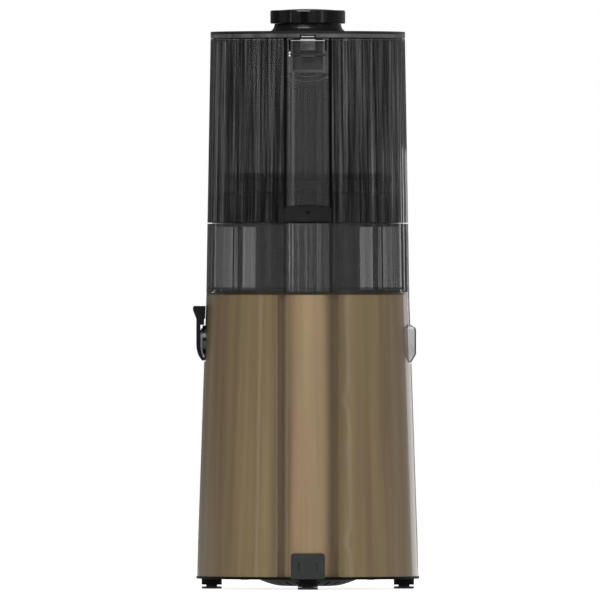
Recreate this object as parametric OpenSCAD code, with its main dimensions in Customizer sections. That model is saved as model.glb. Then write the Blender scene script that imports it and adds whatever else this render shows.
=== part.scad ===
// Cold press juicer: a round tapered motor body, a fluted juicing chamber, a fluted hopper
// with a hinged lid, and a chute cap on top. +Z is up, the origin is on the table in the
// middle of the foot circle, the control dial faces -Y and the ribbon-like spine faces +Y.
// The juice outlet points along +X and the pulp outlet along -X.

/* [Body] */
// Outer radius of the body shell at its bottom edge
body_base_r = 95.8; // [92:0.1:102]
// How far the body shell draws in from its bottom edge to its top edge
body_taper = 8.2; // [5:0.1:9]
// Height of the body shell
body_h = 242.8; // [236:0.1:270]
// Wall of the body shell
body_wall = 2.4; // [1.8:0.1:3]
// Depth of the grooves beside the body's spine
groove_d = 3.6; // [2:0.1:4.6]

/* [Chamber and hopper] */
// How far the chamber draws in from the body to its seam with the hopper
seam_in = 0.9; // [0.2:0.1:1.5]
// How far the hopper draws in from the seam to its top edge
hopper_taper = 2.7; // [1:0.1:3.6]
// Height of the fluted chamber shell
chamber_h = 59; // [54:0.5:70]
// Height of the fluted hopper shell
hopper_h = 158.7; // [146:0.1:190]
// Wall of the fluted shells under the flutes
shell_wall = 2.6; // [2:0.1:3]
// Flutes in a full turn, three of them given over to the spine
flute_count = 40; // [36:1:44]
// Depth of a flute
flute_d = 1.3; // [0.8:0.1:1.8]

/* [Lid and cap] */
// Height of the lid's rim
lid_rim_h = 5.6; // [5:0.1:7]
// Radius of the feed hole through the lid
chute_r = 25.6; // [22:0.1:26]
// Height of the flared collar around the feed hole
collar_h = 6.9; // [5:0.1:10]
// Radius of the chute cap
cap_r = 32.4; // [31.6:0.1:36]
// Height of the chute cap's side
cap_h = 11.4; // [9:0.1:16]
// Radius of the metal disc let into the cap
disc_r = 24; // [18:0.5:26]

/* [Drum and outlets] */
// Outer radius of the juicing drum
drum_r = 49.2; // [48.6:0.1:50]
// Wall of the juicing drum
drum_wall = 2.6; // [2:0.1:3]
// How far the drum reaches down into the body
drum_depth = 60; // [58:0.5:64]
// Bore radius of the juice spout
juice_bore_r = 11; // [9:0.1:11.5]
// Height of the pulp chute
pulp_h = 33; // [28:0.5:36]
// Width of the pulp chute
pulp_w = 40; // [32:0.5:44]
// How far the pulp chute stands out of the body
pulp_out = 4.4; // [3:0.1:6]

/* [Feet] */
// How far the feet's middles stand in from the body's bottom edge
foot_in = 12.8; // [11.8:0.1:18]
// Radius of a foot pad
foot_r = 8.8; // [7:0.1:9.5]

/* [Controls] */
// Height of the control dial's axis above the base plate
dial_up = 70; // [60:0.5:90]
// Radius of the control dial
dial_r = 17; // [14:0.1:20]
// Width of the mains inlet plate
inlet_w = 29.4; // [27:0.1:34]
// Height of the mains inlet plate
inlet_h = 22; // [20:0.1:28]

/* [Drive] */
// Gear module, the pitch diameter for each tooth
gear_module = 1; // [0.9:0.05:1]
// Teeth on each pinion
pinion_teeth = 12; // [12:1:14]
// Teeth on each large gear
gear_teeth = 48; // [44:4:48]

/* [Hidden] */
$fn = 96;

// Clearances: between bodies that part, between fixed pieces, on turning shafts; a cut's
// overrun; the radii of the body's top, the seam and the hopper's top, and a reach that
// passes through every outer surface
fit = 0.3;
snug = 0.1;
run_fit = 0.05;
slot_gap = 0.8;
over = 1;
body_top_r = body_base_r - body_taper;
seam_r = body_top_r - seam_in;
hopper_top_r = seam_r - hopper_taper;
through = body_base_r + body_top_r;
rear_a = 90;
round_share = 0.3;

// Feet and base plate
pad_h = 1.8;
neck_h = 1.5;
neck_r = 4.8;
boss_h = 5.3;
stem_r = 3.2;
stem_h = 4;
lip_out = 0.5;
lip_t = 2.2;
base_t = 2.4;
spigot_h = 4;
spigot_wall = 2;
dome_r = 44.5;
dome_flat_r = 20;
dome_d = 6.4;
dome_t = 2;
dome_shares = [0, 0.15, 0.3, 0.45, 0.6, 0.75, 0.88, 1];
vent_w = 2.2;
vent_count = 24;
vent_in_r = 16;
vent_out_r = 38;
base_z = pad_h + neck_h + boss_h;
base_top_z = base_z + base_t;
lip_r = body_base_r + lip_out;
foot_circle_r = body_base_r - foot_in;
shell_z = base_z + lip_t;
shell_top_z = shell_z + body_h;
spigot_r = body_base_r - body_wall - fit;
function body_r(z) =
  body_base_r + (body_top_r - body_base_r) * (z - shell_z) / body_h;

// Grooves beside the body's spine, in plan
groove_x = 22.4;
groove_in_x = 9;
groove_out_x = 28.5;
groove_shares = [0, 0.2, 0.4, 0.6, 0.8, 1];
groove_mid_r = (body_base_r + body_top_r) / 2;
groove_tilt = atan((body_base_r - body_top_r) / body_h);

// Deck, the moulding that closes the body and seats the drum
rim_t = 2.1;
rim_out = 0.5;
deck_spigot_h = 6;
deck_spigot_wall = 2;
seat_gap = 2.3;
seat_wall = 2.2;
seat_floor_t = 4;
seat_floor_gap = 2;
deck_top_z = shell_top_z + rim_t;
chamber_z = deck_top_z + fit;
drum_z = chamber_z - drum_depth;
seat_r = drum_r + seat_gap;
seat_floor_z = drum_z - seat_floor_gap;
deck_under_z = seat_floor_z - seat_floor_t;
deck_spigot_r = body_top_r - body_wall - fit;
rod_r = 3;
rod_sink = 4;
rod_a = 45;
rod_gap = 1;
socket_wall = 2.2;
rod_circle_r = body_top_r - body_wall - fit - deck_spigot_wall
  - rod_gap - socket_wall - rod_r;
screw_r = 1.6;
screw_head_r = 3.2;
screw_head_h = 1.8;
screw_h = 12;
deck_screw_circle_r = 24;
deck_screw_h = 5.6;
deck_screw_a = 60;

// Chamber and hopper levels
chamber_top_z = chamber_z + chamber_h;
seam_gap = 0.8;
hopper_z = chamber_top_z + seam_gap;
hopper_top_z = hopper_z + hopper_h;
hopper_seat_z = chamber_top_z + fit;
lid_gap = 0.5;
lid_z = hopper_top_z + lid_gap;
lid_top_z = lid_z + lid_rim_h;
collar_top_z = lid_top_z + collar_h;
function chamber_r(z) =
  body_top_r + (seam_r - body_top_r) * (z - chamber_z) / chamber_h;
function hopper_r(z) =
  seam_r + (hopper_top_r - seam_r) * (z - hopper_z) / hopper_h;
function chamber_in_r(z) = chamber_r(z) - flute_d - shell_wall;
function hopper_in_r(z) = hopper_r(z) - flute_d - shell_wall;

// Outline of the fluted shells: convex reeds, and a spine between two grooves
spine_a = 13.5;
spine_groove_d = 2.2;
spine_flat_share = 0.4;
spine_groove_share = 0.86;
spine_shares = [-1, -0.86, -0.72, -0.56, -0.4, 0, 0.4, 0.56, 0.72, 0.86];
reed_shares = [-1, -0.8, -0.4, 0, 0.4, 0.8];
reed_count = flute_count - 3;
reed_a = (360 - 2 * spine_a) / reed_count;
plain_rim_h = 2.5;
function smooth(t) = (1 - cos(180 * t)) / 2;
function spine_cut(s) =
  s > spine_groove_share
    ? spine_groove_d + (flute_d - spine_groove_d)
      * (s - spine_groove_share) / (1 - spine_groove_share)
    : s > spine_flat_share
      ? spine_groove_d
        * smooth((s - spine_flat_share) / (spine_groove_share - spine_flat_share))
      : 0;
function polar(r, a) = [r * cos(a), r * sin(a)];
function outline(r) = concat(
  [for (i = [0:reed_count - 1], s = reed_shares)
    polar(r - flute_d * s * s, rear_a + spine_a + reed_a * (i + (s + 1) / 2))],
  [for (s = spine_shares) polar(r - spine_cut(abs(s)), rear_a + spine_a * s)]
);

// Drum, its flanges and its hub
drum_floor_t = 3;
flange_t = 3;
foot_flange_t = 2.2;
pillar_r = 2.2;
pillar_in = 11.9;
pillar_a = 34.4;
hub_bore_r = 9.6;
hub_wall = 2.4;
hub_h = 14;
shell_ledge = 4;
shell_ledge_t = 1.8;
gasket_out = 0.6;
gasket_w = 2.4;
gasket_t = 1.6;
drum_in_r = drum_r - drum_wall;
gasket_r = drum_r + gasket_out;
pillar_circle_r = chamber_in_r(chamber_top_z) - pillar_in;
pillar_x = pillar_circle_r * cos(pillar_a);
pillar_y = pillar_circle_r * sin(pillar_a);
drum_floor_z = drum_z + drum_floor_t;
flange_z = chamber_top_z - flange_t;

// Juice spout, its hinged cap and the skirts that fill the body's slots
juice_wall = 2.2;
juice_r = juice_bore_r + juice_wall;
juice_sump = 4;
juice_z = drum_floor_z + juice_sump + juice_bore_r;
juice_mouth_out = 2;
juice_mouth_x = body_r(juice_z) + juice_mouth_out;
knuckle_r = 1.7;
knuckle_wall = 0.8;
knuckle_out_share = 0.6;
knuckle_up_share = 0.9;
juice_pin_r = knuckle_r - knuckle_wall;
juice_pin_z = juice_z - juice_r - knuckle_r - 2 * fit;
juice_pin_x = body_r(juice_pin_z) + knuckle_r * knuckle_out_share;
juice_cap_w = 30;
ear_w = 10;
juice_slot_w = juice_cap_w + 2 * slot_gap;
juice_slot_z = juice_pin_z - knuckle_r - slot_gap;
skirt_t = 3;
lever_h = 45.5;
lever_out = 5.3;
lever_x = juice_mouth_x + lever_out;
lever_t = 3.5;
bend_in = 7.8;
bend_h = 14.5;
bend_steps = 6;
bend_end_a = 66;
bend_thin_share = 0.6;
tab_out = 2.9;
tab_lean = 0.4;
tab_foot_h = 5.2;
tab_foot_in = 6.7;
tab_h = 11.2;
tab_nose_h = 3.6;
tab_round = 1.3;
plug_in = 3;
seal_t = 1.4;
pad_t = 1.3;
pad_w = 24;
pad_top = 21.5;
lever_top_z = juice_pin_z + lever_h;
tab_in_x = body_r(lever_top_z) + fit;
bend_x = lever_x - bend_in;
bend_z = juice_pin_z + bend_h - 2 * fit - knuckle_r * knuckle_up_share;

// Pulp chute
pulp_wall = 2.2;
pulp_under = 1;
pulp_corner_r = 5;
pulp_lip_t = 1.3;
pulp_slant_x = 4.3;
pulp_slant_z = 7.4;
pulp_top_r = 5.2;
pulp_shares = [0, 0.3, 1];
pulp_z = drum_z - pulp_under;
pulp_x = body_r(pulp_z + pulp_h / 2) + pulp_out;
pulp_slot_w = pulp_w + 2 * slot_gap;
pulp_slot_z = pulp_z - slot_gap;
outlet_in_x = sqrt(pow(drum_in_r, 2) - pow(pulp_w / 2 + snug, 2)) - fit;

// Strainer and auger
strainer_gap = 3.1;
strainer_wall = 2.4;
strainer_slot_w = 2.6;
strainer_slots = 18;
strainer_band_h = 14;
strainer_flange_t = 2;
strainer_drop = 1;
auger_gap = 2;
auger_base_r = 17;
auger_top_r = 13;
flight_gap = 1.5;
auger_turns = 2.25;
auger_slices = 32;
flight_a = 44;
flight_steps = 4;
tang_r = 6;
tang_h = 12;
strainer_z = drum_floor_z;
strainer_r = drum_in_r - strainer_gap;
auger_flight_r = strainer_r - strainer_wall - flight_gap;
strainer_top_z = flange_z + flange_t - strainer_drop;
auger_z = drum_floor_z + auger_gap;
auger_top_z = flange_z;

// Bowl, lock ring, wing and latch
bowl_up = 35.5;
bowl_rim_h = 7;
bowl_rim_wall = 3;
bowl_wall = 2.4;
bowl_in = 12.2;
throat_in = 0.6;
post_r = 2;
post_in = 6.2;
post_a = 26.6;
lock_ring_h = 23.7;
lock_wall = 2.4;
lock_side_wall = 7.5;
lock_foot_w = 7;
bowl_z = hopper_z + bowl_up;
bowl_out_r = hopper_in_r(bowl_z) - bowl_in;
throat_r = drum_in_r - throat_in;
post_x = (hopper_in_r(bowl_z) - post_in) * cos(post_a);
post_y = (hopper_in_r(bowl_z) - post_in) * sin(post_a);
lock_top_z = hopper_seat_z + lock_ring_h;
funnel_slope = (bowl_out_r - throat_r) / (bowl_z - hopper_seat_z);
function funnel_r(z) = throat_r + (z - hopper_seat_z) * funnel_slope;
wing_gap = 2;
wing_disc_gap = 6;
wing_disc_t = 3;
wing_hub_r = 11;
wing_hub_h = 26;
wing_blade_r = 20.5;
wing_blade_t = 2.4;
wing_blade_h = 20;
wing_z = chamber_top_z + wing_gap;
wing_disc_r = throat_r - wing_disc_gap;
latch_w = 40.4;
latch_h = 13.4;
latch_t = 3;
latch_up = 1.4;
latch_arch_r = 80;
latch_travel = 1.6;
latch_sink = 0.5;
latch_gap = 0.5;
peg_r = 2;
peg_x = 12;
peg_l = 7;
mark_w = 4.6;
mark_h = 3;
mark_t = 0.4;
latch_z = hopper_z + latch_up;
latch_back_y = sqrt(
  pow(hopper_r(latch_z + latch_h) - latch_sink - latch_t, 2) - pow(latch_w / 2, 2)
);

// Lid, hinge and cap
lid_wall = 2.4;
lid_top_t = 2.2;
collar_flare = 6.4;
collar_wall = 3.1;
collar_shares = [0, 0.2, 0.4, 0.6, 0.8, 1];
lid_gasket_w = 3.4;
lid_gasket_lift = 0.3;
pocket_w = 31;
pocket_h = 29.9;
pocket_wall = 2.6;
pocket_in = 11;
pin_drop = 14.5;
pin_in = 3;
hinge_pin_r = 1.5;
arm_w = 12.4;
arm_t = 5.6;
arm_knuckle_r = 2.9;
hinge_y = hopper_top_r - pin_in;
hinge_z = hopper_top_z - pin_drop;
pocket_y = hopper_top_r - pocket_in;
pocket_z = hopper_top_z - pocket_h;
cap_z = collar_top_z + fit;
cap_top_z = cap_z + cap_h;
cap_wall = 2.4;
cap_round = 1.2;
disc_sink = 1.2;
disc_edge_h = 1.4;
disc_dome_h = 1.1;
disc_shares = [1, 0.85, 0.6, 0.3, 0];
plug_gap = 2;
plug_wall = 2;
plug_drop = 11.5;
cap_seal_h = 3;
cap_seal_up = 4;
plug_r = chute_r - plug_gap;

// Control dial and mains inlet
dial_z = base_z + dial_up;
dial_out = 7.4;
dial_gap = 0.5;
dial_round = 1.2;
bezel_w = 3;
bezel_out = 0.8;
bezel_t = 6;
bezel_back_t = 2;
dial_shaft_r = 3;
switch_w = 24;
switch_t = 14;
pointer_w = 1.8;
pointer_t = 0.5;
pointer_in_share = 0.35;
pointer_out_share = 0.85;
dial_face_y = body_r(dial_z) + dial_out;
bezel_face_y = body_r(dial_z) + bezel_out;
bezel_r = dial_r + bezel_w;
inlet_t = 3;
inlet_rise = 0.5;
inlet_proud = 0.3;
inlet_corner_r = 2.2;
contact_x = 7.75;
contact_slot_w = 1.3;
contact_slot_h = 7;
contact_w = 0.9;
contact_inset = 0.4;
socket_w = 25;
socket_h = 17;
socket_t = 15;
socket_floor = 3;
inlet_z = base_z + inlet_rise;
inlet_y = lip_r + inlet_proud;
inlet_mid_z = inlet_z + inlet_h / 2;
contact_z = inlet_mid_z - 2 * fit;

// Gears
clearance_share = 0.25;
gear_tip_share = 0.72;
backlash = 0.16;
pressure_a = 20;
flank_shares = [0, 0.35, 0.7, 1];
pinion_pitch_r = gear_module * pinion_teeth / 2;
gear_pitch_r = gear_module * gear_teeth / 2;
centre_d = pinion_pitch_r + gear_pitch_r;
stage_one_w = 10;
stage_two_w = 14;
stage_gap = 3;
case_gap = 3;
case_wall = 3;
case_floor_t = 3;
case_floor_gap = 2;
cover_t = 4;
ear_r = 5.5;
bearing_lip = 1.5;
output_bearing_h = 7;
output_bearing_r = 12.5;
output_boss_wall = 3;
shaft_r = 6;
seal_r = 9;
hex_r = 8;
hex_reach = 12;
hex_fit = 0.25;
hex_lift = 1;
pin_r = 3;
hub_r = 9;
thin_hub_r = 4.6;
thrust_gap = 0.3;
cover_top_z = deck_under_z;
cover_z = cover_top_z - cover_t;
boss_z = cover_top_z - bearing_lip - output_bearing_h;
stage_two_z = boss_z - 2 * thrust_gap - stage_two_w;
stage_one_z = stage_two_z - stage_gap - stage_one_w;
case_floor_z = stage_one_z - case_floor_gap;
case_z = case_floor_z - case_floor_t;
case_x = centre_d / 2;
case_in_r = case_x + gear_pitch_r + gear_module + case_gap;
case_r = case_in_r + case_wall;
ear_circle_r = case_r + ear_r / 2;
ear_a = 40;
hex_z = seat_floor_z + hex_lift;
hex_top_z = drum_floor_z + hub_h + hex_reach;

// Motor and fan
bracket_t = 7;
bracket_r = 44;
bearing_r = 11;
bearing_h = 5;
rotor_shaft_r = 4;
coil_h = 7;
coil_gap = 1;
stack_h = 40;
stator_r = 42;
rotor_r = 16;
air_gap = 0.5;
pole_count = 6;
slot_w = 9;
slot_in_r = 19;
slot_out_r = 29;
bolt_circle_r = 37;
bolt_r = 2;
nut_r = 3.6;
nut_h = 2.6;
leg_r = 4;
air_hole_r = 5;
air_hole_circle_r = 30;
case_screw_circle_r = 20;
case_screw_sink = 3;
fan_h = 14;
fan_r = 38;
fan_hub_r = 9;
fan_gap = 2;
fan_tilt = 35;
blade_t = 1.6;
blade_count = 9;
blade_rise_share = 0.55;
upper_bracket_z = case_z - bracket_t;
stack_z = upper_bracket_z - coil_gap - coil_h - stack_h;
lower_bracket_z = stack_z - coil_h - coil_gap - bracket_t;
fan_z = lower_bracket_z - fan_gap - nut_h - fan_h;

// Control board
board_w = 68;
board_d = 32;
board_t = 1.6;
board_in = 29.8;
board_lift = 6;
standoff_r = 3;
part_h = 12;
part_w = 14;
low_part_share = 0.7;
board_z = base_top_z + board_lift;
board_y = board_in - body_base_r;

// Shared shapes
module tube(r, wall, h) {
  difference() {
    cylinder(r = r, h = h);
    translate([0, 0, -over]) cylinder(r = r - wall, h = h + 2 * over);
  }
}
module along_y(r, l) {
  rotate([90, 0, 0]) cylinder(r = r, h = l, center = true);
}
module along_x(r, l) {
  rotate([0, 90, 0]) cylinder(r = r, h = l);
}
module side_plate(points, w) {
  rotate([90, 0, 0]) translate([0, 0, -w / 2]) linear_extrude(w) polygon(points);
}
module round_rect(w, h, r) {
  square([w - 2 * r, h], center = true);
  square([w, h - 2 * r], center = true);
  for (x = [-1, 1], y = [-1, 1])
    translate([x * (w / 2 - r), y * (h / 2 - r)]) circle(r);
}
module ring_of(count, r, start = 0) {
  for (i = [0:count - 1]) rotate([0, 0, start + i * 360 / count]) translate([r, 0, 0]) children();
}
module screw(h) {
  cylinder(r = screw_head_r, h = screw_head_h);
  translate([0, 0, screw_head_h - over / 2]) cylinder(r = screw_r, h = h + over / 2);
}
module cone_ring(z0, z1, r0, r1, t) {
  difference() {
    translate([0, 0, z0]) cylinder(r1 = r0, r2 = r1, h = z1 - z0);
    translate([0, 0, z0 - over])
      cylinder(
        r1 = r0 - t - (r1 - r0) * over / (z1 - z0),
        r2 = r1 - t + (r1 - r0) * over / (z1 - z0),
        h = z1 - z0 + 2 * over
      );
  }
}

// One flat gear, by an involute from its base circle up to its tip
function involute_a(r, base_r) =
  r <= base_r ? 0 : sqrt(pow(r / base_r, 2) - 1) * 180 / PI - acos(base_r / r);
function flank(teeth, tip_share, s) =
  let (
    pitch_r = gear_module * teeth / 2,
    base_r = pitch_r * cos(pressure_a),
    tip_r = pitch_r + gear_module * tip_share,
    r = base_r + (tip_r - base_r) * s,
    half_a = 90 / teeth - backlash / 4 / pitch_r * 180 / PI,
    a = half_a + involute_a(pitch_r, base_r) - involute_a(r, base_r)
  ) [r, a];
function gear_points(teeth, tip_share) =
  let (
    root_r = gear_module * (teeth / 2 - 1 - clearance_share),
    n = len(flank_shares) - 1,
    foot_a = flank(teeth, tip_share, 0)[1]
  )
  [for (i = [0:teeth - 1], p = concat(
    [[root_r, -foot_a]],
    [for (s = flank_shares) let (f = flank(teeth, tip_share, s)) [f[0], -f[1]]],
    [for (k = [0:n]) flank(teeth, tip_share, flank_shares[n - k])],
    [[root_r, foot_a]]
  )) polar(p[0], p[1] + i * 360 / teeth)];
module gear(teeth, tip_share, w, turn) {
  rotate([0, 0, turn]) linear_extrude(w) polygon(gear_points(teeth, tip_share));
}

// Plan of one groove cutter beside the spine, grown by the wall for the shell's inside
function surface_y(x) = sqrt(pow(groove_mid_r, 2) - x * x) - groove_mid_r;
function groove_points(grow) = concat(
  [for (s = groove_shares)
    let (x = groove_in_x + (groove_x - groove_in_x) * s)
    [x - grow * (1 - s), surface_y(x) - groove_d * smooth(s) - grow]],
  [for (s = groove_shares) if (s > 0)
    let (x = groove_x + (groove_out_x - groove_x) * s)
    [x + grow * s, surface_y(x) - groove_d * smooth(1 - s) - grow]],
  [[groove_out_x + grow, groove_d], [groove_in_x - grow, groove_d]]
);
module groove(grow, side) {
  mirror([side, 0, 0]) translate([0, body_base_r, shell_z]) rotate([groove_tilt, 0, 0])
    translate([0, 0, -2 * over]) linear_extrude(body_h + 4 * over)
      polygon(groove_points(grow));
}
// Room for the backs of the grooves in what fits inside the shell
module groove_room() {
  intersection() {
    for (side = [0, 1]) groove(body_wall + fit, side);
    translate([-through, 0, shell_z]) cube([2 * through, through, body_h]);
  }
}
module rod_places() { ring_of(4, rod_circle_r, rod_a) children(); }
module foot_places() { ring_of(4, foot_circle_r) children(); }

module body_shell() {
  color("#7f6f53")
    difference() {
      translate([0, 0, shell_z]) cylinder(r1 = body_base_r, r2 = body_top_r, h = body_h);
      difference() {
        translate([0, 0, shell_z - over])
          cylinder(
            r1 = body_r(shell_z - over) - body_wall,
            r2 = body_r(shell_top_z + over) - body_wall,
            h = body_h + 2 * over
          );
        groove(body_wall, 0);
        groove(body_wall, 1);
      }
      groove(0, 0);
      groove(0, 1);
      translate([0, -juice_slot_w / 2, juice_slot_z])
        cube([through, juice_slot_w, body_h]);
      translate([-through, -pulp_slot_w / 2, pulp_z + pulp_h / 2])
        cube([through, pulp_slot_w, body_h]);
      rotate([0, 0, 180]) pulp_bar(0, through, slot_gap);
      translate([0, -through / 2, dial_z]) along_y(bezel_r - bezel_w / 2 + snug, through);
      translate([-inlet_w / 2 - snug, inlet_y - inlet_t - snug, inlet_z - snug - body_h])
        cube([inlet_w + 2 * snug, through, inlet_h + 2 * snug + body_h]);
      translate([-socket_w / 2 - snug, 0, shell_z - over])
        cube([
          socket_w + 2 * snug, through, inlet_mid_z + socket_h / 2 + snug - shell_z + over
        ]);
    }
}

module base_plate() {
  color("#1b1b1b")
    difference() {
      union() {
        translate([0, 0, base_z]) cylinder(r = lip_r, h = lip_t);
        translate([0, 0, base_z]) cylinder(r = spigot_r, h = base_t);
        translate([0, 0, base_z]) tube(spigot_r, spigot_wall, lip_t + spigot_h);
        foot_places() translate([0, 0, pad_h + neck_h]) cylinder(r = foot_r, h = boss_h + over);
        rod_places() translate([0, 0, base_z])
          cylinder(r = rod_r + socket_wall, h = base_t + rod_sink);
        for (x = [-1, 1], y = [-1, 1])
          translate([
            x * (board_w / 2 - standoff_r), board_y + y * (board_d / 2 - standoff_r), base_z
          ]) cylinder(r = standoff_r, h = base_t + board_lift);
      }
      translate([0, 0, base_z - over]) cylinder(r = dome_r - dome_t, h = base_t + 2 * over);
      foot_places() translate([0, 0, pad_h + neck_h - over])
        cylinder(r = stem_r + snug, h = stem_h + snug + over);
      rod_places() {
        translate([0, 0, base_top_z]) cylinder(r = rod_r + snug, h = rod_sink + over);
        translate([0, 0, base_z - over]) cylinder(r = screw_r + snug, h = base_t + 2 * over);
        translate([0, 0, base_z - over]) cylinder(r = screw_head_r + fit, h = over + base_t / 2);
      }
      groove_room();
      translate([-inlet_w / 2 - snug, inlet_y - inlet_t - snug, inlet_z - snug])
        cube([inlet_w + 2 * snug, through, body_h]);
      translate([-socket_w / 2 - snug, inlet_y - inlet_t - socket_t, base_top_z])
        cube([socket_w + 2 * snug, through, body_h]);
    }
  color("#1b1b1b")
    difference() {
      rotate_extrude() polygon(concat(
        [[0, base_z - dome_d]],
        [for (s = dome_shares)
          [dome_flat_r + (dome_r - dome_flat_r) * s, base_z - dome_d * cos(90 * s)]],
        [for (k = [len(dome_shares) - 1:-1:0])
          let (s = dome_shares[k])
          [dome_flat_r + (dome_r - dome_t - dome_flat_r) * s,
            base_z - dome_d * cos(90 * s) + dome_t * (1 - s) + base_t * s]],
        [[0, base_z - dome_d + dome_t]]
      ));
      ring_of(vent_count, vent_in_r)
        translate([0, -vent_w / 2, base_z - dome_d - over])
          cube([vent_out_r - vent_in_r, vent_w, dome_d + base_t + 2 * over]);
    }
}

module foot_pads() {
  color("#141414")
    foot_places() {
      cylinder(r = foot_r - snug, h = pad_h);
      cylinder(r = neck_r, h = pad_h + neck_h);
      cylinder(r = stem_r, h = pad_h + neck_h + stem_h);
    }
}

module base_screws() {
  color("#8a8c8e")
    rod_places() translate([0, 0, base_z + base_t / 2 - screw_head_h]) screw(screw_h);
}

module tie_rods() {
  color("#b9bbbd")
    rod_places() difference() {
      translate([0, 0, base_top_z]) cylinder(r = rod_r, h = shell_top_z - base_top_z);
      translate([0, 0, base_top_z - over]) cylinder(r = screw_r + snug, h = screw_h + 2 * over);
    }
}

// Walls of an open channel that leads an outlet from the drum's seat to the shell
module channel(w, z) {
  intersection() {
    translate([seat_r - over, -w / 2 - seat_wall, z - seat_wall])
      cube([through, w + 2 * seat_wall, shell_top_z - z + seat_wall]);
    translate([0, 0, shell_z])
      cylinder(
        r1 = body_base_r - body_wall - fit, r2 = body_top_r - body_wall - fit, h = body_h
      );
  }
}
module channel_cut(w, z) {
  translate([0, -w / 2, z]) cube([through, w, body_h]);
}
module deck() {
  color("#23200f")
    difference() {
      union() {
        translate([0, 0, shell_top_z]) cylinder(r = body_top_r + rim_out, h = rim_t);
        translate([0, 0, shell_top_z - deck_spigot_h])
          tube(deck_spigot_r, deck_spigot_wall, deck_spigot_h + over);
        translate([0, 0, deck_under_z])
          cylinder(r = seat_r + seat_wall, h = deck_top_z - deck_under_z);
        channel(juice_slot_w, juice_slot_z);
        rotate([0, 0, 180]) channel(pulp_slot_w, pulp_slot_z);
        rod_places() translate([0, 0, shell_top_z - rod_sink])
          cylinder(r = rod_r + socket_wall, h = rod_sink + over);
      }
      translate([0, 0, seat_floor_z]) cylinder(r = seat_r, h = body_h);
      translate([0, 0, deck_under_z - over]) cylinder(r = seal_r + snug, h = body_h);
      groove_room();
      channel_cut(juice_slot_w, juice_slot_z);
      rotate([0, 0, 180]) channel_cut(pulp_slot_w, pulp_slot_z);
      rod_places() translate([0, 0, shell_top_z - rod_sink - over])
        cylinder(r = rod_r + snug, h = rod_sink + over + snug);
      ring_of(3, deck_screw_circle_r, deck_screw_a) {
        translate([0, 0, deck_under_z - over])
          cylinder(r = screw_r + snug, h = seat_floor_t + 2 * over);
        translate([0, 0, seat_floor_z - screw_head_h - snug])
          cylinder(r = screw_head_r + snug, h = screw_head_h + over);
      }
    }
}

module deck_screws() {
  color("#8a8c8e")
    ring_of(3, deck_screw_circle_r, deck_screw_a)
      translate([0, 0, seat_floor_z]) mirror([0, 0, 1]) screw(deck_screw_h - screw_head_h);
}

module shaft_seal() {
  color("#1e1e1e")
    translate([0, 0, deck_under_z]) tube(seal_r, seal_r - shaft_r - run_fit, seat_floor_t);
}

module inlet_plate() {
  color("#3b3d3c")
    translate([0, inlet_y, inlet_mid_z]) rotate([90, 0, 0]) linear_extrude(inlet_t)
      difference() {
        union() {
          round_rect(inlet_w, inlet_h, inlet_corner_r);
          translate([-inlet_w / 2, -inlet_h / 2]) square([inlet_w, inlet_h / 2]);
        }
        for (x = [-1, 1])
          translate([x * contact_x, contact_z - inlet_mid_z])
            square([contact_slot_w, contact_slot_h], center = true);
      }
}

module inlet_socket() {
  color("#151515")
    difference() {
      translate([-socket_w / 2, inlet_y - inlet_t - socket_t, inlet_mid_z - socket_h / 2])
        cube([socket_w, socket_t, socket_h]);
      for (x = [-1, 1])
        translate([x * contact_x, inlet_y - inlet_t - (socket_t - socket_floor) / 2, contact_z])
          cube(
            [contact_slot_w + 2 * fit, socket_t - socket_floor + snug, contact_slot_h + 2 * fit],
            center = true
          );
    }
}

module inlet_contacts() {
  color("#c8b47a")
    for (x = [-1, 1])
      translate([
        x * contact_x - contact_w / 2,
        inlet_y - inlet_t - socket_t + socket_floor,
        contact_z - contact_slot_h / 2 + contact_inset
      ])
        cube([
          contact_w, socket_t - socket_floor + inlet_t / 2, contact_slot_h - 2 * contact_inset
        ]);
}

module control_board() {
  color("#2f6b3a") {
    translate([-board_w / 2, board_y - board_d / 2, board_z]) cube([board_w, board_d, board_t]);
    for (i = [-1, 0, 1])
      translate([i * board_w / 3, board_y, board_z + board_t / 2])
        cylinder(r = part_w / 2 - abs(i), h = part_h);
    translate([board_w / 6 - part_w / 4, board_y - part_w / 2, board_z + board_t / 2])
      cube([part_w / 2, part_w, part_h * low_part_share]);
  }
}

module rotary_switch() {
  color("#20242a")
    difference() {
      translate([
        -switch_w / 2, -bezel_face_y + bezel_t + bezel_back_t, dial_z - switch_w / 2
      ]) cube([switch_w, switch_t, switch_w]);
      translate([0, -bezel_face_y + bezel_t + bezel_back_t, dial_z])
        along_y(dial_shaft_r + run_fit, switch_t);
    }
}

module dial_bezel() {
  color("#16120c")
    difference() {
      union() {
        translate([0, -bezel_face_y + (bezel_t + bezel_back_t) / 2, dial_z])
          along_y(bezel_r - bezel_w / 2, bezel_t + bezel_back_t);
        difference() {
          translate([0, -bezel_face_y + bezel_t / 2, dial_z]) along_y(bezel_r, bezel_t);
          translate([0, 0, shell_z])
            cylinder(r1 = body_base_r + snug, r2 = body_top_r + snug, h = body_h);
        }
      }
      translate([0, -bezel_face_y - over + (bezel_t + over) / 2, dial_z])
        along_y(dial_r + dial_gap, bezel_t + over);
      translate([0, -bezel_face_y + bezel_t, dial_z])
        along_y(dial_shaft_r + slot_gap, 2 * bezel_t);
    }
}

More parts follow.
